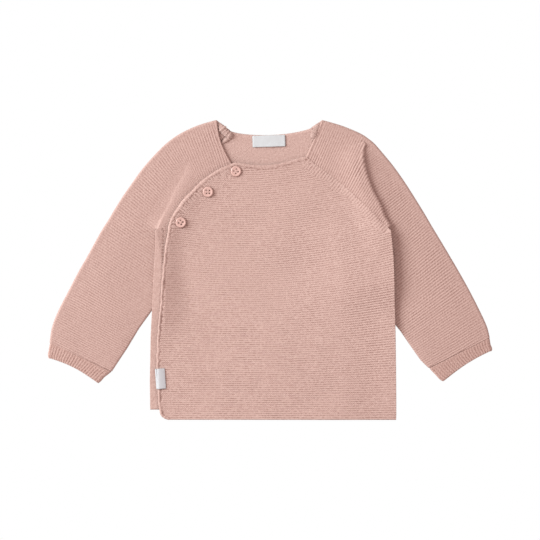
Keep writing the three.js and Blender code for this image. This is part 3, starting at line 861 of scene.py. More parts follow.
def beads(gap, along, seed, size=1.0, half=1.0):
    """The small rolled edge: a cord of uneven loops just inside an open edge, and its ditch."""
    loops = np.cos(2 * np.pi * (along / 4.3 + 0.5 * noise(along, along, 7, seed)))
    patchy = noise(along, along, 5, seed + 1)
    uneven = 1 + 0.35 * loops + 0.3 * patchy
    across = (gap - half - 0.2) / half
    cord = np.maximum(0, 1 - across**2)
    ditch = bell((gap - 2 * half - 0.8 - 0.5 * loops) / 0.6) * (0.7 + 0.4 * patchy)
    return size * (0.5 * uneven * cord - 0.5 * ditch), ditch


# The free side, by height above the hem: how high the top front stands just inside it, and how far
# that reaches.
LIFT = table(
    "y high reach",
    """
     15 1.2  8
     60 1.8 10
     85 1.2 10
    110 0.8  7
    130 0.9 10
    165 1.9 15
    185 4.2 21
    205 4.8 22
    235 3.0 14
    262 0   11
    """,
)


def free_edge_lift(gap, y):
    """How far the top front stands up, "gap" inside its free side."""
    high, reach = (np.interp(y, LIFT["y"], LIFT[key]) for key in ("high", "reach"))
    return high * (1 - np.exp(-gap / 0.8)) * np.exp(-gap / reach)


def neck_sag(depth, power):
    """A panel's neckline that sags in the middle, fading over the top rows of its table."""

    def dip(u, down):
        return depth * np.sin(np.pi * np.clip(u, 0, 1)) ** power * ease(1 - down / SAG_ROWS)

    return dip


def front_over():
    """The top front, with its rolled free edge and neck edge."""
    dip = neck_sag(NECK_DIP, 1.4)
    x, y = panel_plan(OVER, (FREE, RAGLAN, 1.65), ALONG, smooth, straight, dip)
    waver = 0.45 * noise(y, y, 5, 33) * np.exp(-(x - x[:, :1]) / 3)
    x = x + waver * ease((y - 8) / 10)
    free = np.concatenate([side(x, y, "left")[:-1], side(x, y, "high")])
    to_free, along_free = near(x, y, free)
    to_left = near(x, y, side(x, y, "left"))[0]
    to_top = near(x, y, side(x, y, "high"))[0]
    right = side(x, y, "right")
    raglan = right[right[:, 1] > RIGHT_ARMPIT_Y]
    to_raglan, along_raglan = near(x, y, raglan)
    to_right = near(x, y, right)[0]
    to_hem = near(x, y, side(x, y, "low"))[0]

    z = over_height(x, y)
    z += free_edge_lift(to_left, y)
    z += 1.0 * (1 - np.exp(-to_top / 2)) * np.exp(-to_top / 10)
    mid = np.stack([x, y, settle(x, y, z)], -1)

    # Ridges: across the body, along the curved free edge and along the raglan seam.
    stray = wander(x, y, 11)
    course = (y - ridge_climb(x, y)) / PITCH
    plain = garter(course + stray)
    by_edge = garter(along_free / SEAM_PITCH + stray)
    by_seam = garter(along_raglan / SEAM_PITCH + stray)
    curved = ease((y - 178) / 22) * ease((-30 - x) / 12)
    band = TURNED_BAND + 3 * noise(along_free, along_free, 8, 21)
    edge_share = curved * ease((band - to_free) / BAND_BLEND + 0.5)
    band = TURNED_BAND + 4 * noise(along_raglan, along_raglan, 7, 22)
    seam_share = ease((band - to_raglan) / BAND_BLEND + 0.5) * (y > 188)
    height = mix(mix(plain, by_edge, edge_share), by_seam, seam_share)
    strength = unevenness(x, y, 13)
    strength *= ease((to_free - 2.2) / 2.0)

    # The rolled edge, wider along the neck, with the painted shadow round each button and the
    # hooks, darkened with painted shade.
    wide = ease((y - 198) / 14)
    roll, ditch = beads(to_free, along_free, 31, 1.0 - 0.4 * wide, mix(0.95, 1.5, wide))
    # outline is a painted shadow: round each button, and along the free edge beside them.
    painted_edge_shadow_zone = ease((y - 200) / 8) * ease((-36 - x) / 6)
    outline = 0.9 * painted_edge_shadow_zone * bell(to_free / 0.7)
    for _, at_x, at_y, _ in BUTTONS:
        outline = outline + 0.8 * bell((np.hypot(x - at_x, y - at_y) - BUTTON_SHADE) / 0.7)
    caught = ease((noise(along_free, 0 * along_free, 4, 35) - 0.3) / 0.15) * (1 - wide)
    hooks = caught * bell((to_free - 3.2) / 0.9)
    lift = 1.4 * RIDGE * strength * (height - RIDGE_MEAN) + 0.75 * roll - 0.3 * hooks
    rounding = EDGE_ROUND * (0.75 + 0.6 * noise(along_free, along_free, 3.5, 34))
    pad = edge_pad([(to_free, rounding), (to_hem, EDGE_ROUND), (to_right, SEAM_ROUND)])
    painted_light_shade = shade(height, strength, 1.35 + 0.2 * edge_share + 0.2 * seam_share)
    # Painted shade in the ditch, on the hooks and just inside the free edge, and the painted shadow
    # of the outline.
    painted_light_shade -= (1 + 0.6 * wide) * ditch + outline + 0.9 * hooks + 0.1 * bell(to_free / 2)
    uv = cloth_uv(x, course)
    return sheet_mesh("front_top", mid, pad, lift, uv, painted_light_shade, KNITTED)


STRIP_PAINTED_LIGHT = 0.05  # painted light: how much paler the strip that shows of the lower front is made


def front_under():
    """The lower front, with a row of seam stitches along the strip that shows."""
    x, y = panel_plan(
        UNDER, (FREE, SOFT, 9), (HEM, SOFT, ROW_GAP), straight, smooth, lambda u, down: 0
    )
    left = side(x, y, "left")
    to_left, along = near(x, y, left)
    to_side = near(x, y, left[left[:, 1] < LEFT_ARMPIT[1]])[0]
    to_rest = np.minimum(near(x, y, side(x, y, "right"))[0], near(x, y, side(x, y, "low"))[0])
    mid = np.stack([x, y, settle(x, y, under_height(x, y))], -1)
    course = y / PITCH
    height = garter(course + wander(x, y, 41))
    strength = unevenness(x, y, 42) * ease((to_side - 5.5) / 2)
    dots = bell((to_side - 8.2) / 1.1) * (0.5 + 0.5 * np.cos(2 * np.pi * along / 3.2))
    dots *= 0.35 + 0.65 * ease((y - 130) / 30)
    lift = RIDGE * strength * (height - RIDGE_MEAN) - 0.5 * dots
    pad = edge_pad([(to_left, SEAM_ROUND), (to_side, 0.3), (to_rest, EDGE_ROUND)])
    # Painted light on the strip; painted shade in the seam stitches' dips and along its side edge.
    painted_light_shade = shade(height, strength, 0.6) - 0.7 * dots + STRIP_PAINTED_LIGHT - 0.4 * bell(to_side / 0.6)
    uv = cloth_uv(x, course)
    return sheet_mesh("front_below", mid, pad, lift, uv, painted_light_shade, KNITTED)


def back_panel():
    """The back, whose ridges only hollow its underside so that it stays flat."""
    dip = neck_sag(BACK_DIP, 0.6)
    x, y = panel_plan(BACK, (RAGLAN, RAGLAN, 2.2), ALONG, straight, straight, dip)
    to_hem, to_top = (near(x, y, side(x, y, w))[0] for w in ("low", "high"))
    along_top = near(x, y, side(x, y, "high"))[1]
    to_sides = np.minimum(*(near(x, y, side(x, y, w))[0] for w in ("left", "right")))
    mid = np.stack([x, y, settle(x, y, back_height(x, y))], -1)
    course = y / PITCH
    height = garter(course + wander(x, y, 51))
    strength = unevenness(x, y, 52) * ease((to_top - 2.2) / 2)
    lift = 0.5 * RIDGE * strength * (height - 1.0) + 0.15 * beads(to_top, along_top, 55)[0]
    lift = np.minimum(lift, 0)
    pad = edge_pad([(to_sides, SEAM_ROUND), (to_hem, EDGE_ROUND), (to_top, EDGE_ROUND)])
    painted_light_shade = shade(height, strength, 0.9)
    uv = cloth_uv(x, course)
    return sheet_mesh("back_knit", mid, pad, lift, uv, painted_light_shade, KNITTED, flip=True)


# ---------------------------------------------------------------- sleeves and cuffs

# Shape of the pleat's fold across its line: place, and share of its height, for a crisp fold.
CRISP = np.array(
    [
        [-1.0, 1.0], [-0.55, 1.0], [-0.1, 0.97], [0.2, 0.86], [0.34, 0.7], [0.3, 0.54], [0.05, 0.4],
        [-0.3, 0.28], [-0.6, 0.17], [-0.7, 0.06], [-0.45, 0.0], [0.1, 0.0], [1.0, 0.0],
    ]
)
GENTLE = np.array([[s, 1 - ease((s + 1) / 2) ** 1.6] for s in np.linspace(-1, 1, len(CRISP))])
BODY_HALF = {-1: 118, 1: 126}  # half width of the body on each side
FOLD_MARKS = [0, 0.8, 1.8]  # distances from a tube's outer fold of its mesh's first columns
FOLD_ROUND = 1.1  # radius of the outer fold, at the middle of the cloth
FOLD_TURN = np.radians([60, 30, 0, -30, -60])  # places round the outer fold, from the front
FOLD_MID = FRONT_MID / 2 + BACK_MID / 2
ENDS_MEET = 2.0  # height at which the front and back of a closed tube meet
SHORT_ROW = 16  # shorter rows have their end columns closer together
CURVE_STEPS = 4000  # of the curve down a tube's outer fold, to measure along it
RIB_HEIGHT = 0.45


def way_to(a, c):
    """Distances between matching points of two lines, and the directions from a to c."""
    length = np.linalg.norm(c - a, axis=1)
    return length, (c - a) / np.maximum(length, 1e-6)[:, None]


def marks(length, first, final, count):
    """Places along rows of these lengths: given ones near both ends, and "count" even ones."""
    scale = np.minimum(1, length / SHORT_ROW)
    inner = np.linspace(0, 1, count + 2)[1:-1]
    a = first * scale[:, None]
    z = length[:, None] - (final * scale[:, None])[:, ::-1]
    return np.concatenate([a, mix(a[:, -1:], z[:, :1], inner), z], axis=1)


def tube_rows(spec):
    """A tube's rows from the neck down: their key points, and how far each row is closed."""
    rows = spec.rows
    last = len(rows["ox"]) - 1
    fine = np.linspace(0, last, CURVE_STEPS)
    outer = np.stack([smooth(rows, "ox", fine), smooth(rows, "oy", fine)], -1)
    travelled = np.concatenate([[0], np.cumsum(np.hypot(*np.diff(outer, axis=0).T))])
    course = even(travelled[-1], FINE[:5], FINE[:5], spec.gap)
    t = np.interp(course, travelled, fine)
    o, k, f, b = (
        np.stack([how(rows, key + "x", t), how(rows, key + "y", t)], -1)
        for key, how in (("o", smooth), ("k", smooth), ("f", straight), ("b", straight))
    )
    shut = ease((t - spec.closed) / 0.4)[:, None]
    open_share = (1 - ease((t - spec.closed + 0.35) / 0.35))[:, None]
    started = ease((t - spec.pleat) / 1.2)[:, None]
    sewn = SEAM_LAP * (1 - shut)
    f = f - way_to(f, o)[1] * sewn
    b = b - way_to(b, o)[1] * sewn
    o = o - way_to(k, o)[1] * FOLD_INSET
    return SimpleNamespace(
        t=t, last=last, fine=fine, outer=outer, length=travelled[-1], course=course[:, None],
        o=o, k=k, f=f, b=b, shut=shut, open_share=open_share, started=started,
        bend=started * open_share, still_open=(1 - ease((t - spec.closed + 0.6) / 1.8))[:, None],
    )


def tube_plan(tube, spec):
    """Lays rows out from the front's end, over the fold line and outer fold, to the back's end."""
    o, k, f, b = tube.o, tube.k, tube.f, tube.b
    yoke, yoke_way = way_to(f, k)
    arm, arm_way = way_to(k, o)
    rear, rear_way = way_to(b, o)
    half_yoke = np.minimum(spec.reach[0], 0.3 * yoke)
    half_arm = np.minimum(spec.reach[1], 0.3 * arm)
    edge, start, plain = np.array(RAGLAN[:6]), np.array(FOLD_MARKS), np.array([0.0])
    # The front: up to the fold line, across it, and on to the outer fold.
    first = marks(yoke - half_yoke, edge, plain, spec.yoke)[:, :-1]
    bent = mix(np.linspace(-1, 1, len(spec.fold))[None], spec.fold[None, :, 0], tube.bend)
    offset = bent * np.where(bent < 0, half_yoke[:, None], half_arm[:, None])
    way = np.where(offset[..., None] < 0, yoke_way[:, None], arm_way[:, None])
    second = marks(arm - half_arm - FOLD_ROUND, plain, start, spec.arm)[:, 1:]
    front = [
        f[:, None] + yoke_way[:, None] * first[..., None],
        k[:, None] + way * offset[..., None],
        k[:, None] + arm_way[:, None] * (second + half_arm[:, None])[..., None],
    ]
    tube.front_count = sum(part.shape[1] for part in front)

    def spread(over_fold):
        """1 before the fold line, the given values across it and 0 past it."""
        across = np.repeat(over_fold[None], len(tube.t), 0)
        return np.concatenate([np.ones_like(first), across, np.zeros_like(second)], axis=1)

    tube.yoke_share = spread(np.linspace(1, 0, len(spec.fold)))
    tube.high_share = spread(spec.fold[:, 1])
    # Round the outer fold, and from there to the back's end.
    way = np.where(FOLD_TURN[None, :, None] >= 0, arm_way[:, None], rear_way[:, None])
    turn = o[:, None] - way * (FOLD_ROUND * (1 - np.cos(FOLD_TURN)))[None, :, None]
    used = tube.front_count + len(FOLD_TURN) + len(start) + len(edge) + spec.rear
    extra = -(used - 1) % HIDDEN_STEP
    third = marks(rear - FOLD_ROUND, start, edge, spec.rear + extra)
    back = o[:, None] - rear_way[:, None] * (third + FOLD_ROUND)[..., None]

    xy = np.concatenate([*front, turn, back], axis=1)
    if spec.bow:
        span = np.linalg.norm(np.concatenate(front, axis=1) - f[:, None], axis=2)
        whole = np.maximum(np.linalg.norm(o - f, axis=1), 1e-6)[:, None]
        curve = spec.bow * np.sin(np.pi * np.clip(span / whole, 0, 1)) * ease(1 - tube.t)[:, None]
        xy[:, : tube.front_count, 0] -= curve
    tube.across = np.linalg.norm(xy - o[:, None], axis=2) / np.maximum(rear, 1e-6)[:, None]
    wrist_curve = spec.wrist_bow * np.sin(np.pi * np.clip(tube.across, 0, 1))
    xy[..., 1] += wrist_curve * ease(tube.t / tube.last)[:, None]
    tube.xy, tube.x, tube.y = xy, xy[..., 0], xy[..., 1]
    tube.to_outer, tube.to_fold, tube.to_front, tube.to_back = (
        np.linalg.norm(xy - place[:, None], axis=2) for place in (o, k, f, b)
    )
    in_front = np.arange(xy.shape[1]) < tube.front_count
    tube.to_end = np.where(in_front, tube.to_front, tube.to_back)
    tube.from_neck = tube.course * np.ones_like(tube.x)
    tube.from_wrist = (tube.length - tube.course) * np.ones_like(tube.x)


def tube_height(tube, spec):
    """Heights of a tube's cloth: flat behind, swollen in front where it lies free of the body."""
    front, back = slice(0, tube.front_count), slice(tube.front_count + len(FOLD_TURN), None)
    x, y = tube.x[:, front], tube.y[:, front]
    to_outer, to_fold = tube.to_outer[:, front], tube.to_fold[:, front]
    to_front, to_back = tube.to_front[:, front], tube.to_back[:, back]
    step = TUBE_STEP * raised(x, y, spec.above) * tube.open_share if spec.above else 0 * x

    from_body = np.abs(x) - BODY_HALF[spec.hand]
    open_clear = mix(1.0, ease((from_body - 1) / 8), tube.shut)
    swell = spec.puff * ease(to_outer / 26)
    swell = swell * mix(ease(from_body / 34), open_clear, tube.still_open)
    swell *= ease((to_front + 6 * tube.shut) / 16)
    swell *= 1 if spec.pattern == "rib" else ease(0.2 + tube.course / 40)
    yoke_swell = 1 - 0.4 * tube.open_share
    arm_swell = mix(yoke_swell, ease(to_fold / 16), tube.bend * spec.valley)

    roll = spec.roll * bell(to_fold / 8) * tube.bend * np.minimum(1, step)
    roll = roll * ease(to_front / 7)
    if spec.hand > 0 and spec.above:
        roll = roll + fold_roll(x, y) * tube.open_share
    lean = spec.lean * np.exp(-to_fold / 9) * tube.bend * ease((step - 1) / 2)
    arm_level = FRONT_MID + (step + roll) * (1 - tube.started) + swell * arm_swell + lean
    yoke_level = FRONT_MID + step + swell * yoke_swell + roll

    def meet(level, to_end):
        """Brings the front and back of a closed tube together at their ends."""
        return mix(ENDS_MEET, level, mix(1.0, dome(to_end / FOLD_ROUND), tube.shut))

    z_front = meet(mix(arm_level, yoke_level, tube.high_share), to_front)
    z_turn = np.repeat((FOLD_MID + FOLD_ROUND * np.sin(FOLD_TURN))[None], len(tube.t), 0)
    return np.concatenate([z_front, z_turn, meet(BACK_MID, to_back)], axis=1)


def garter_skin(tube, spec):
    """A sleeve's ridges, fanned out: their place on the cloth map, their height and their shade."""
    x, y, fine, ridges = tube.x, tube.y, tube.fine, spec.ridges
    front = slice(0, tube.front_count)
    on_yoke = np.zeros_like(x, bool)
    on_yoke[:, front] = tube.yoke_share > 0.5
    run = tube.to_outer
    course = fan(x, y, tube.outer, smooth(ridges, "slope", fine), smooth(ridges, "pitch", fine))
    if "yoke" in ridges:
        seam = np.stack([straight(spec.rows, "fx", fine), straight(spec.rows, "fy", fine)], -1)
        pitch = np.full(len(fine), YOKE_PITCH)
        yoke_course = fan(x, y, seam, smooth(ridges, "yoke", fine), pitch)
        by_yoke = (on_yoke | (tube.started < 0.5)) & (tube.open_share > 0.5)
        by_yoke[:, tube.front_count :] = False
        course = np.where(by_yoke, yoke_course, course)
        run = np.where(by_yoke, tube.to_front, run)
    height = garter(course + wander(x, y, spec.seed))

    strength = 0.8 + 0.2 * noise(x, y, 21, spec.seed + 2)
    strength = spec.ridge * strength * (0.35 + 0.65 * ease((tube.to_outer - 1) / 9))
    smooth_and_painted_light_band = spec.smooth * bell(tube.to_fold / np.where(on_yoke, 8.0, 3.5)) * tube.bend
    strength = strength * (1 - smooth_and_painted_light_band) * ease((tube.from_neck - 2) / 2)
    if spec.hand < 0:
        strength = strength * np.where(on_yoke, 0.75, 1.0)
    lift = RIDGE * strength * (height - RIDGE_MEAN)
    from_neck, to_outer = tube.from_neck[:, front], tube.to_outer[:, front]
    lift[:, front] += beads(from_neck, to_outer, spec.seed + 5, 0.55)[0]

    # spec.tone is a painted shade that darkens the whole sleeve.
    painted_light_shade = shade(height, strength, spec.contrast) + spec.tone
    # Painted shade along the sleeve's sewn ends, where it meets the body.
    seam_painted_shade = bell(tube.to_end / 0.8) * tube.open_share * ease((y - 203) / 10)
    if spec.hand > 0:
        seam_painted_shade = seam_painted_shade * ease((250 - y) / 14)
    painted_light_shade -= spec.seam_shade * seam_painted_shade
    # The smooth band on the yoke is made paler with painted light.
    painted_light_shade += 0.25 * smooth_and_painted_light_band * on_yoke
    return cloth_uv(run, course), lift, painted_light_shade


def rib_skin(tube, spec):
    """A cuff's ribs, which grow out of its seam unevenly: map, height and shade as above."""
    ribs = RIBS * np.clip(tube.across, 0, 1)
    height = garter(ribs + 0.1 * noise(tube.x, tube.y, 7, spec.seed))
    uneven = noise(ribs, ribs, 1.3, spec.seed + 3)
    grown = ease((tube.from_neck - 0.5 - 1.5 * uneven) / 2)
    lift = RIB_HEIGHT * (height - RIDGE_MEAN) * grown
    # spec.tone is a painted shade that darkens the whole cuff.
    painted_light_shade = shade(mix(0.85, height, grown), 1.0, spec.contrast) + spec.tone
    return cloth_uv(tube.from_neck, ribs), lift, painted_light_shade


def tube_sheet(name, values):
    """A sleeve or cuff pressed flat: its front, its outer fold and its back in one sheet."""
    spec = SimpleNamespace(**values)
    tube = tube_rows(spec)
    tube_plan(tube, spec)
    z = tube_height(tube, spec)
    mid = np.concatenate([tube.xy, settle(tube.x, tube.y, z)[..., None]], axis=2)
    uv, lift, painted_light_shade = rib_skin(tube, spec) if spec.pattern == "rib" else garter_skin(tube, spec)
    in_front = np.arange(mid.shape[1]) < tube.front_count + 3
    lift = np.where(in_front, lift, spec.back_lift * lift)
    neck_round, wrist_round = spec.rounds
    ends = [(tube.from_neck, neck_round), (tube.from_wrist, wrist_round)]
    pad = edge_pad([(tube.to_end, SEAM_ROUND), *ends])
    return sheet_mesh(name, mid, pad, lift, uv, painted_light_shade, spec.looks, flip=spec.hand > 0)


# Each tube: its tables, which hand it is on, the pleat's fold and how far that reaches to each
# side, the rows where it closes and its pleat starts, its layer, how much it swells, and the
# mesh's columns. Then its looks: the roll, lean and hollow of cloth at the fold, how smooth the
# knit is there and how much paler, as painted light, the height and contrast of its ridges, its
# tone, a painted shade that darkens the whole sleeve or cuff, the share of that height at the
# back, and the painted shade along the raglan.
SLEEVE = dict(
    pattern="garter", looks=ARM_KNITTED, gap=ARM_GAP, arm=40, rear=34, valley=0.3, wrist_bow=0,
    rounds=(EDGE_ROUND, SEAM_ROUND), back_lift=0.5,
)
LEFT_SLEEVE = dict(
    SLEEVE, rows=LEFT, ridges=LEFT_RIDGES, hand=-1, fold=GENTLE, reach=(7, 15), closed=LEFT_CLOSED,
    pleat=LEFT_PLEAT, above=1, puff=0.6, yoke=26, bow=NECK_BOW, seed=61, roll=0.0, lean=0.0,
    smooth=0.95, ridge=1.0, contrast=1.1, seam_shade=0.9, tone=-0.07,
)
RIGHT_SLEEVE = dict(
    SLEEVE, rows=RIGHT, ridges=RIGHT_RIDGES, hand=1, fold=CRISP, reach=(3, 3), closed=RIGHT_CLOSED,
    pleat=RIGHT_PLEAT, above=2, puff=1.0, yoke=30, bow=0.0, seed=71, roll=0.8, lean=1.3,
    smooth=0.0, ridge=1.05, contrast=1.2, seam_shade=0.3, tone=-0.08,
)
# A cuff is closed all the way and has no pleat, so those rows lie outside its table.
CUFF = dict(
    pattern="rib", looks=RIBBED, fold=GENTLE, reach=(2, 2), closed=-9, pleat=99, above=0, bow=0.0,
    gap=1.0, yoke=48, arm=60, rear=108, rounds=(SEAM_ROUND, 0.6), back_lift=0.4,
    roll=0, lean=0, valley=0, contrast=0.75,
)
CUFF_LEFT = dict(
    CUFF, rows=LEFT_CUFF, hand=-1, puff=0.6, seed=91, wrist_bow=LEFT_WRIST_BOW, tone=0.0
)
CUFF_RIGHT = dict(
    CUFF, rows=RIGHT_CUFF, hand=1, puff=1.0, seed=92, wrist_bow=RIGHT_WRIST_BOW, tone=-0.08
)


# ---------------------------------------------------------------- buttons and labels

BUTTON_RADIUS, BUTTON_THICK, BUTTON_RIM, BUTTON_DISH = 5.2, 1.8, 1.2, 0.35
HOLE_RADIUS, HOLE_PITCH = 0.85, 2.1
STRAND = 0.16  # half the thickness of the sewing thread


def lathe(mesh, profile, sides):
    """A closed turned body in a bmesh, from a profile that starts and ends on the axis."""
    rings = []
    for radius, z in profile:
        if radius == 0:
            rings.append([mesh.verts.new((0, 0, z))])
            continue
        turn = [2 * math.pi * k / sides for k in range(sides)]
        rings.append(
            [mesh.verts.new((radius * math.cos(a), radius * math.sin(a), z)) for a in turn]
        )
    for low_ring, high_ring in zip(rings, rings[1:]):
        for k in range(sides):
            a, b = low_ring[k % len(low_ring)], low_ring[(k + 1) % len(low_ring)]
            c, d = high_ring[(k + 1) % len(high_ring)], high_ring[k % len(high_ring)]
            ring = [v for i, v in enumerate((a, b, c, d)) if v not in (a, b, c, d)[:i]]
            mesh.faces.new(ring)


def bmesh_object(name, mesh, data_name):
    """Turns a bmesh into an object with a mesh of its own."""
    data = bpy.data.meshes.new(data_name)
    mesh.to_mesh(data)
    mesh.free()
    return link(name, data)


def button_profile():
    """Radius and height from the middle of the flat underside to the middle of the dished top."""
    r, t, rim, dish = BUTTON_RADIUS, BUTTON_THICK, BUTTON_RIM, BUTTON_DISH
    return [
        (0, 0), (r - 1.3, 0), (r - 0.5, 0.2), (r - 0.1, 0.55), (r, 0.9), (r - 0.12, 1.3),
        (r - 0.4, t - 0.14), (r - rim * 0.6, t), (r - rim * 0.95, t - dish * 0.2),
        (r - rim * 1.35, t - dish * 0.6), (r - rim * 1.8, t - dish * 0.95),
        (r - rim * 2.4, t - dish), (0, t - dish),
    ]


def holed(made, places):
    """Drills the thread holes through a button, and makes the change final."""
    cutters = bmesh.new()
    for px, py in places:
        added = bmesh.ops.create_cone(
            cutters, cap_ends=True, segments=20, radius1=HOLE_RADIUS, radius2=HOLE_RADIUS, depth=9
        )
        bmesh.ops.translate(cutters, verts=added["verts"], vec=(px, py, 0))
    tool = bmesh_object("drill", cutters, "drill")
    cut = made.modifiers.new("holes", "BOOLEAN")
    cut.operation, cut.solver, cut.object = "DIFFERENCE", "EXACT", tool
    bpy.context.view_layer.update()
    solved = made.evaluated_get(bpy.context.evaluated_depsgraph_get())
    final = bpy.data.meshes.new_from_object(solved)
    made.modifiers.clear()
    made.data = final
    drill = tool.data
    bpy.data.objects.remove(tool)
    bpy.data.meshes.remove(drill)


def thread_bar(mesh, start, end, top):
    """One strand of sewing thread that rises from a hole, crosses the button and goes down."""
    path = [(*start, -0.2), (*start, top - 0.1)]
    path += [
        (mix(start[0], end[0], s), mix(start[1], end[1], s), top + 0.1 * math.sin(math.pi * s))
        for s in (0.2, 0.5, 0.8)
    ]
    path += [(*end, top - 0.1), (*end, -0.2)]
    points = [Vector(p) for p in path]
    rings = []
    for i, p in enumerate(points):
        way = (points[min(i + 1, len(points) - 1)] - points[max(i - 1, 0)]).normalized()
        turn = way.to_track_quat("Z", "Y")
        rings.append(
            [
                mesh.verts.new(p + turn @ Vector((STRAND * math.cos(a), STRAND * math.sin(a), 0)))
                for a in (2 * math.pi * k / 8 for k in range(8))
            ]
        )
    for a, b in zip(rings, rings[1:]):
        for k in range(8):
            mesh.faces.new((a[k], a[(k + 1) % 8], b[(k + 1) % 8], b[k]))
    mesh.faces.new(rings[0][::-1])
    mesh.faces.new(rings[-1])


def place(made, x, y, z, turn):
    """Scales a mesh from millimetres, turns it about its axis and moves it to its place."""
    spot = Matrix.Translation(Vector(to_frame([x, y, z])))
    made.data.transform(spot @ Matrix.Rotation(math.radians(turn), 4, "Z") @ Matrix.Scale(MM, 4))
    made.data.update()


def button(name, x, y, turn):
    """A four-hole button and the crossed thread that holds it."""
    where = np.array([float(x)]), np.array([float(y)])
    ring = [2 * math.pi * k / 12 for k in range(12)]
    rim_x = np.array([x + BUTTON_RADIUS * math.cos(a) for a in ring])
    rim_y = np.array([y + BUTTON_RADIUS * math.sin(a) for a in ring])
    seat = max(over_top(*where).max(), over_top(rim_x, rim_y).mean()) + 0.1
    mesh = bmesh.new()
    lathe(mesh, button_profile(), 56)
    bmesh.ops.recalc_face_normals(mesh, faces=mesh.faces)
    made = bmesh_object(name + "_turned", mesh, name)
    spots = [
        (HOLE_PITCH * math.cos(a), HOLE_PITCH * math.sin(a))
        for a in (math.pi / 2 * k for k in range(4))
    ]
    holed(made, spots)
    made.data.shade_smooth()
    made.data.set_sharp_from_angle(angle=math.radians(42))
    made.data.materials.clear()
    made.data.materials.append(PLASTIC)
    place(made, x, y, seat, turn)

    strands = bmesh.new()
    thread_bar(strands, spots[0], spots[2], BUTTON_THICK - BUTTON_DISH)
    thread_bar(strands, spots[1], spots[3], BUTTON_THICK - BUTTON_DISH + STRAND)
    bmesh.ops.recalc_face_normals(strands, faces=strands.faces)
    sewn = bmesh_object(name + "_thread", strands, name + "_thread")
    sewn.data.materials.append(THREAD)
    sewn.data.shade_smooth()
    place(sewn, x, y, seat, turn)
    return made, sewn


def over_top(x, y):
    """Height of the top front's upper face, without its ridges and rolled edge."""
    t = np.linspace(0, len(OVER["lx"]) - 1, 90)
    free = np.stack([smooth(OVER, "lx", t), smooth(OVER, "ly", t)], -1)
    to_left = near(x, y, free)[0]
    return settle(x, y, over_height(x, y) + free_edge_lift(to_left, y)) + WALL / 2


# Lumpy ends of the seam allowances that show inside the neck, with half their width.
LEFT_ALLOWANCE = table(
    "x y half",
    """
    -51.2 298   1.6
    -48   293   3.2
    -44.4 288.6 3.6
    -40.4 285.6 3.0
    -37.4 284   1.8
    """,
)
LEFT_SEAM_END = table(
    "x y half",
    """
    -37.6 284.4 1.5
    -41.4 282.6 1.7
    -45.6 280   1.6
    -49   277   1.3
    """,
)
RIGHT_ALLOWANCE = table(
    "x y half",
    """
    50   298   1.4
    47   293.6 2.8
    44.6 288.6 3.4
    43.4 284   3.0
    43.6 280   1.9
    """,
)


def allowance(name, path, seed):
    """A soft lumpy cord of folded knit that lies on the inside of the back."""
    t = np.linspace(0, len(path["x"]) - 1, 64)
    spine = np.stack([smooth(path, "x", t), smooth(path, "y", t)], -1)
    way = np.gradient(spine, axis=0)
    way /= np.linalg.norm(way, axis=1, keepdims=True)
    travelled = np.concatenate([[0], np.cumsum(np.linalg.norm(np.diff(spine, axis=0), axis=1))])
    ends = np.minimum(travelled, travelled[-1] - travelled)
    lumps = 1 + 0.06 * np.sin(travelled * 2 * np.pi / 3.1)
    lumps = lumps + 0.22 * noise(travelled, travelled, 3.5, seed)
    half = straight(path, "half", t) * lumps * dome(ends / 2.0 + 0.02)
    turn = np.linspace(0, 2 * np.pi, 21)[:-1]
    folds = 1 + 0.16 * noise(travelled[:, None] + 0 * turn, 9 * turn, 2.4, seed + 1)
    across = half[:, None] * np.cos(turn) * folds
    high = 0.5 * half[:, None] * np.sin(turn) * folds
    x = spine[:, :1] - way[:, 1:] * across
    y = spine[:, 1:] + way[:, :1] * across
    rest = back_height(spine[:, 0], spine[:, 1]) + WALL / 2
    z = rest[:, None] + 0.45 * half[:, None] + high
    rings, sides = x.shape
    ids = np.arange(rings * sides).reshape(rings, sides)
    after = np.roll(ids, -1, axis=1)
    quads = np.stack([ids[:-1], after[:-1], after[1:], ids[1:]], -1).reshape(-1, 4)
    mesh = bpy.data.meshes.new(name)
    caps = [ids[0][::-1].tolist(), ids[-1].tolist()]
    mesh.from_pydata(to_frame(np.stack([x, y, z], -1).reshape(-1, 3)), [], quads.tolist() + caps)
    # Painted shade: the cord is paler where its lumps swell and darker where it narrows.
    shade = np.clip(0.75 + 1.2 * (lumps - 1), 0.1, 1)[:, None] * np.ones(sides)
    add_painted_light_shade(mesh, shade)
    mesh.uv_layers.new(name="cloth")
    mesh.materials.append(KNIT)
    mesh.shade_smooth()
    mesh.validate()
    return link(name, mesh)


def label(name, spec, look, rest, drop):
    """A thin woven label on the cloth below. With a drop, its left end turns down over an edge."""
    wide, high, turn = spec["wide"], spec["high"], math.radians(spec["turn"])
    u, v = np.meshgrid(np.linspace(-0.5, 0.5, 40), np.linspace(-0.5, 0.5, 31))
    px, py = u * wide, v * high
    x = spec["x"] + px * math.cos(turn) - py * math.sin(turn)
    y = spec["y"] + px * math.sin(turn) + py * math.cos(turn)
    z = rest(x, y) + 0.75 + 0.2 * noise(x, y, 9, 81)
    if drop:
        z += 0.5 * np.cos(np.pi * u) - drop * ease((-0.34 - u) / 0.16)
    else:
        z += 0.7 * ease(-v * 2) * (0.6 + 0.4 * np.sin(u * 7)) + 0.2 * np.cos(2 * np.pi * u)
    mid = np.stack([x, y, z], -1)
    edge = np.minimum(np.minimum(u + 0.5, 0.5 - u) * wide, np.minimum(v + 0.5, 0.5 - v) * high)
    pad = 0.25 * dome(edge / 0.3)
    zero = np.zeros_like(u)
    stitches = -0.12 * bell((edge - 1.0) / 0.25) * (np.cos(2 * np.pi * (px + py) / 1.6) > 0)
    return sheet_mesh(name, mid, pad, stitches, np.stack([px, py], -1), zero, [look])


# ---------------------------------------------------------------- assembly

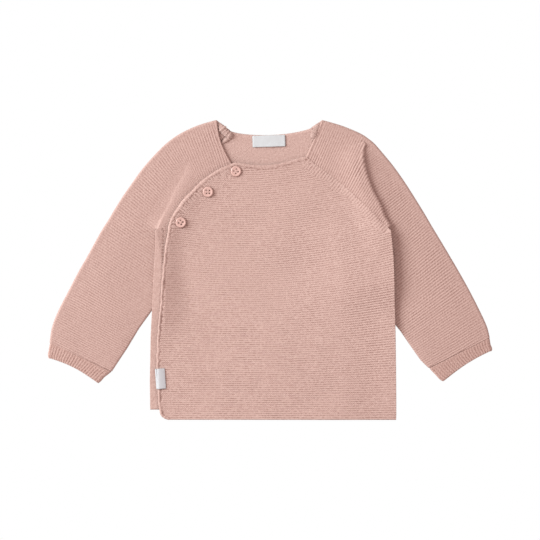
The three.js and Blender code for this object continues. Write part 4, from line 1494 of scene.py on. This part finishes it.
top = front_over()
below = front_under()
back = back_panel()
left_sleeve = tube_sheet("sleeve_left_knit", LEFT_SLEEVE)
right_sleeve = tube_sheet("sleeve_right_knit", RIGHT_SLEEVE)
left_cuff = tube_sheet("cuff_left_rib", CUFF_LEFT)
right_cuff = tube_sheet("cuff_right_rib", CUFF_RIGHT)
neck_label = label(
    "neck_tape", NECK_LABEL, RIBBON, lambda x, y: settle(x, y, back_height(x, y)) + WALL / 2, 0
)
allowances = [
    allowance("left_allowance", LEFT_ALLOWANCE, 83),
    allowance("left_seam_end", LEFT_SEAM_END, 85),
    allowance("right_allowance", RIGHT_ALLOWANCE, 87),
]
side_label = label("side_tape", FLAG_LABEL, TAPE_PAINTED_SHADE, over_top, 2.2)

pieces = [
    (top, "front_over", "knit"),
    (below, "front_under", "knit"),
    (back, "back", "knit"),
    (left_sleeve, "sleeve_left", "knit"),
    (right_sleeve, "sleeve_right", "knit"),
    (left_cuff, "cuff_left", "rib"),
    (right_cuff, "cuff_right", "rib"),
    (neck_label, "neck_label", "label"),
    (side_label, "side_label", "label"),
]
for piece, node, slot in pieces:
    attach(piece, "root")
    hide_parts(node)
for cord in allowances:
    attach(cord, "root")
for name, x, y, turn in BUTTONS:
    turned, sewn = button(name, x, y, turn)
    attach(turned, "root")
    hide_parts(name)
    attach(sewn, "root")


# ---------------------------------------------------------------- stage, light and camera


LENS, SENSOR = 200, 36
VIEW_WIDTH = 0.540  # what the camera sees across, in metres
VIEW_HEIGHT = 0.005  # the level at which it does
FLOOR_DROP = 0.0003


def floor():
    """White paper that shines evenly, and that the camera sees through from below."""
    bpy.ops.mesh.primitive_plane_add(size=6, location=(0, 0, -FLOOR_DROP))
    made = bpy.context.object
    made.name = "floor"
    material = bpy.data.materials.new("paper")
    material.use_nodes = True
    tree = material.node_tree
    tree.nodes.clear()
    glow = tree.nodes.new("ShaderNodeEmission")
    glow.inputs["Strength"].default_value = 1.0
    clear = tree.nodes.new("ShaderNodeBsdfTransparent")
    facing = tree.nodes.new("ShaderNodeNewGeometry")
    choose = tree.nodes.new("ShaderNodeMixShader")
    output = tree.nodes.new("ShaderNodeOutputMaterial")
    tree.links.new(facing.outputs["Backfacing"], choose.inputs[0])
    tree.links.new(glow.outputs[0], choose.inputs[1])
    tree.links.new(clear.outputs[0], choose.inputs[2])
    tree.links.new(choose.outputs[0], output.inputs["Surface"])
    made.data.materials.append(material)


def lights():
    """A warm light from all around, and one large soft lamp to the left."""
    world = bpy.data.worlds.new("studio")
    bpy.context.scene.world = world
    world.use_nodes = True
    sky = world.node_tree.nodes["Background"]
    set_inputs(sky, {"Color": (1, 0.80, 0.765, 1), "Strength": 0.9})
    lamp = bpy.data.lights.new("key", "AREA")
    lamp.shape = "DISK"
    lamp.size = 2.55
    lamp.energy = 244
    lamp.color = (0.96, 1.0, 1.0)
    made = bpy.data.objects.new("key", lamp)
    made.location = (-3.27, 1.185, 1.875)
    made.rotation_mode = "QUATERNION"
    made.rotation_quaternion = (-made.location).to_track_quat("-Z", "Y")
    bpy.context.scene.collection.objects.link(made)


def camera():
    """A long lens straight above."""
    data = bpy.data.cameras.new("camera")
    data.lens = LENS
    data.sensor_width = SENSOR
    made = bpy.data.objects.new("camera", data)
    made.location = (0, 0, VIEW_WIDTH / 2 / (SENSOR / 2 / LENS) + VIEW_HEIGHT)
    bpy.context.scene.collection.objects.link(made)
    bpy.context.scene.camera = made


floor()
lights()
camera()
bpy.context.scene.view_settings.view_transform = "Standard"
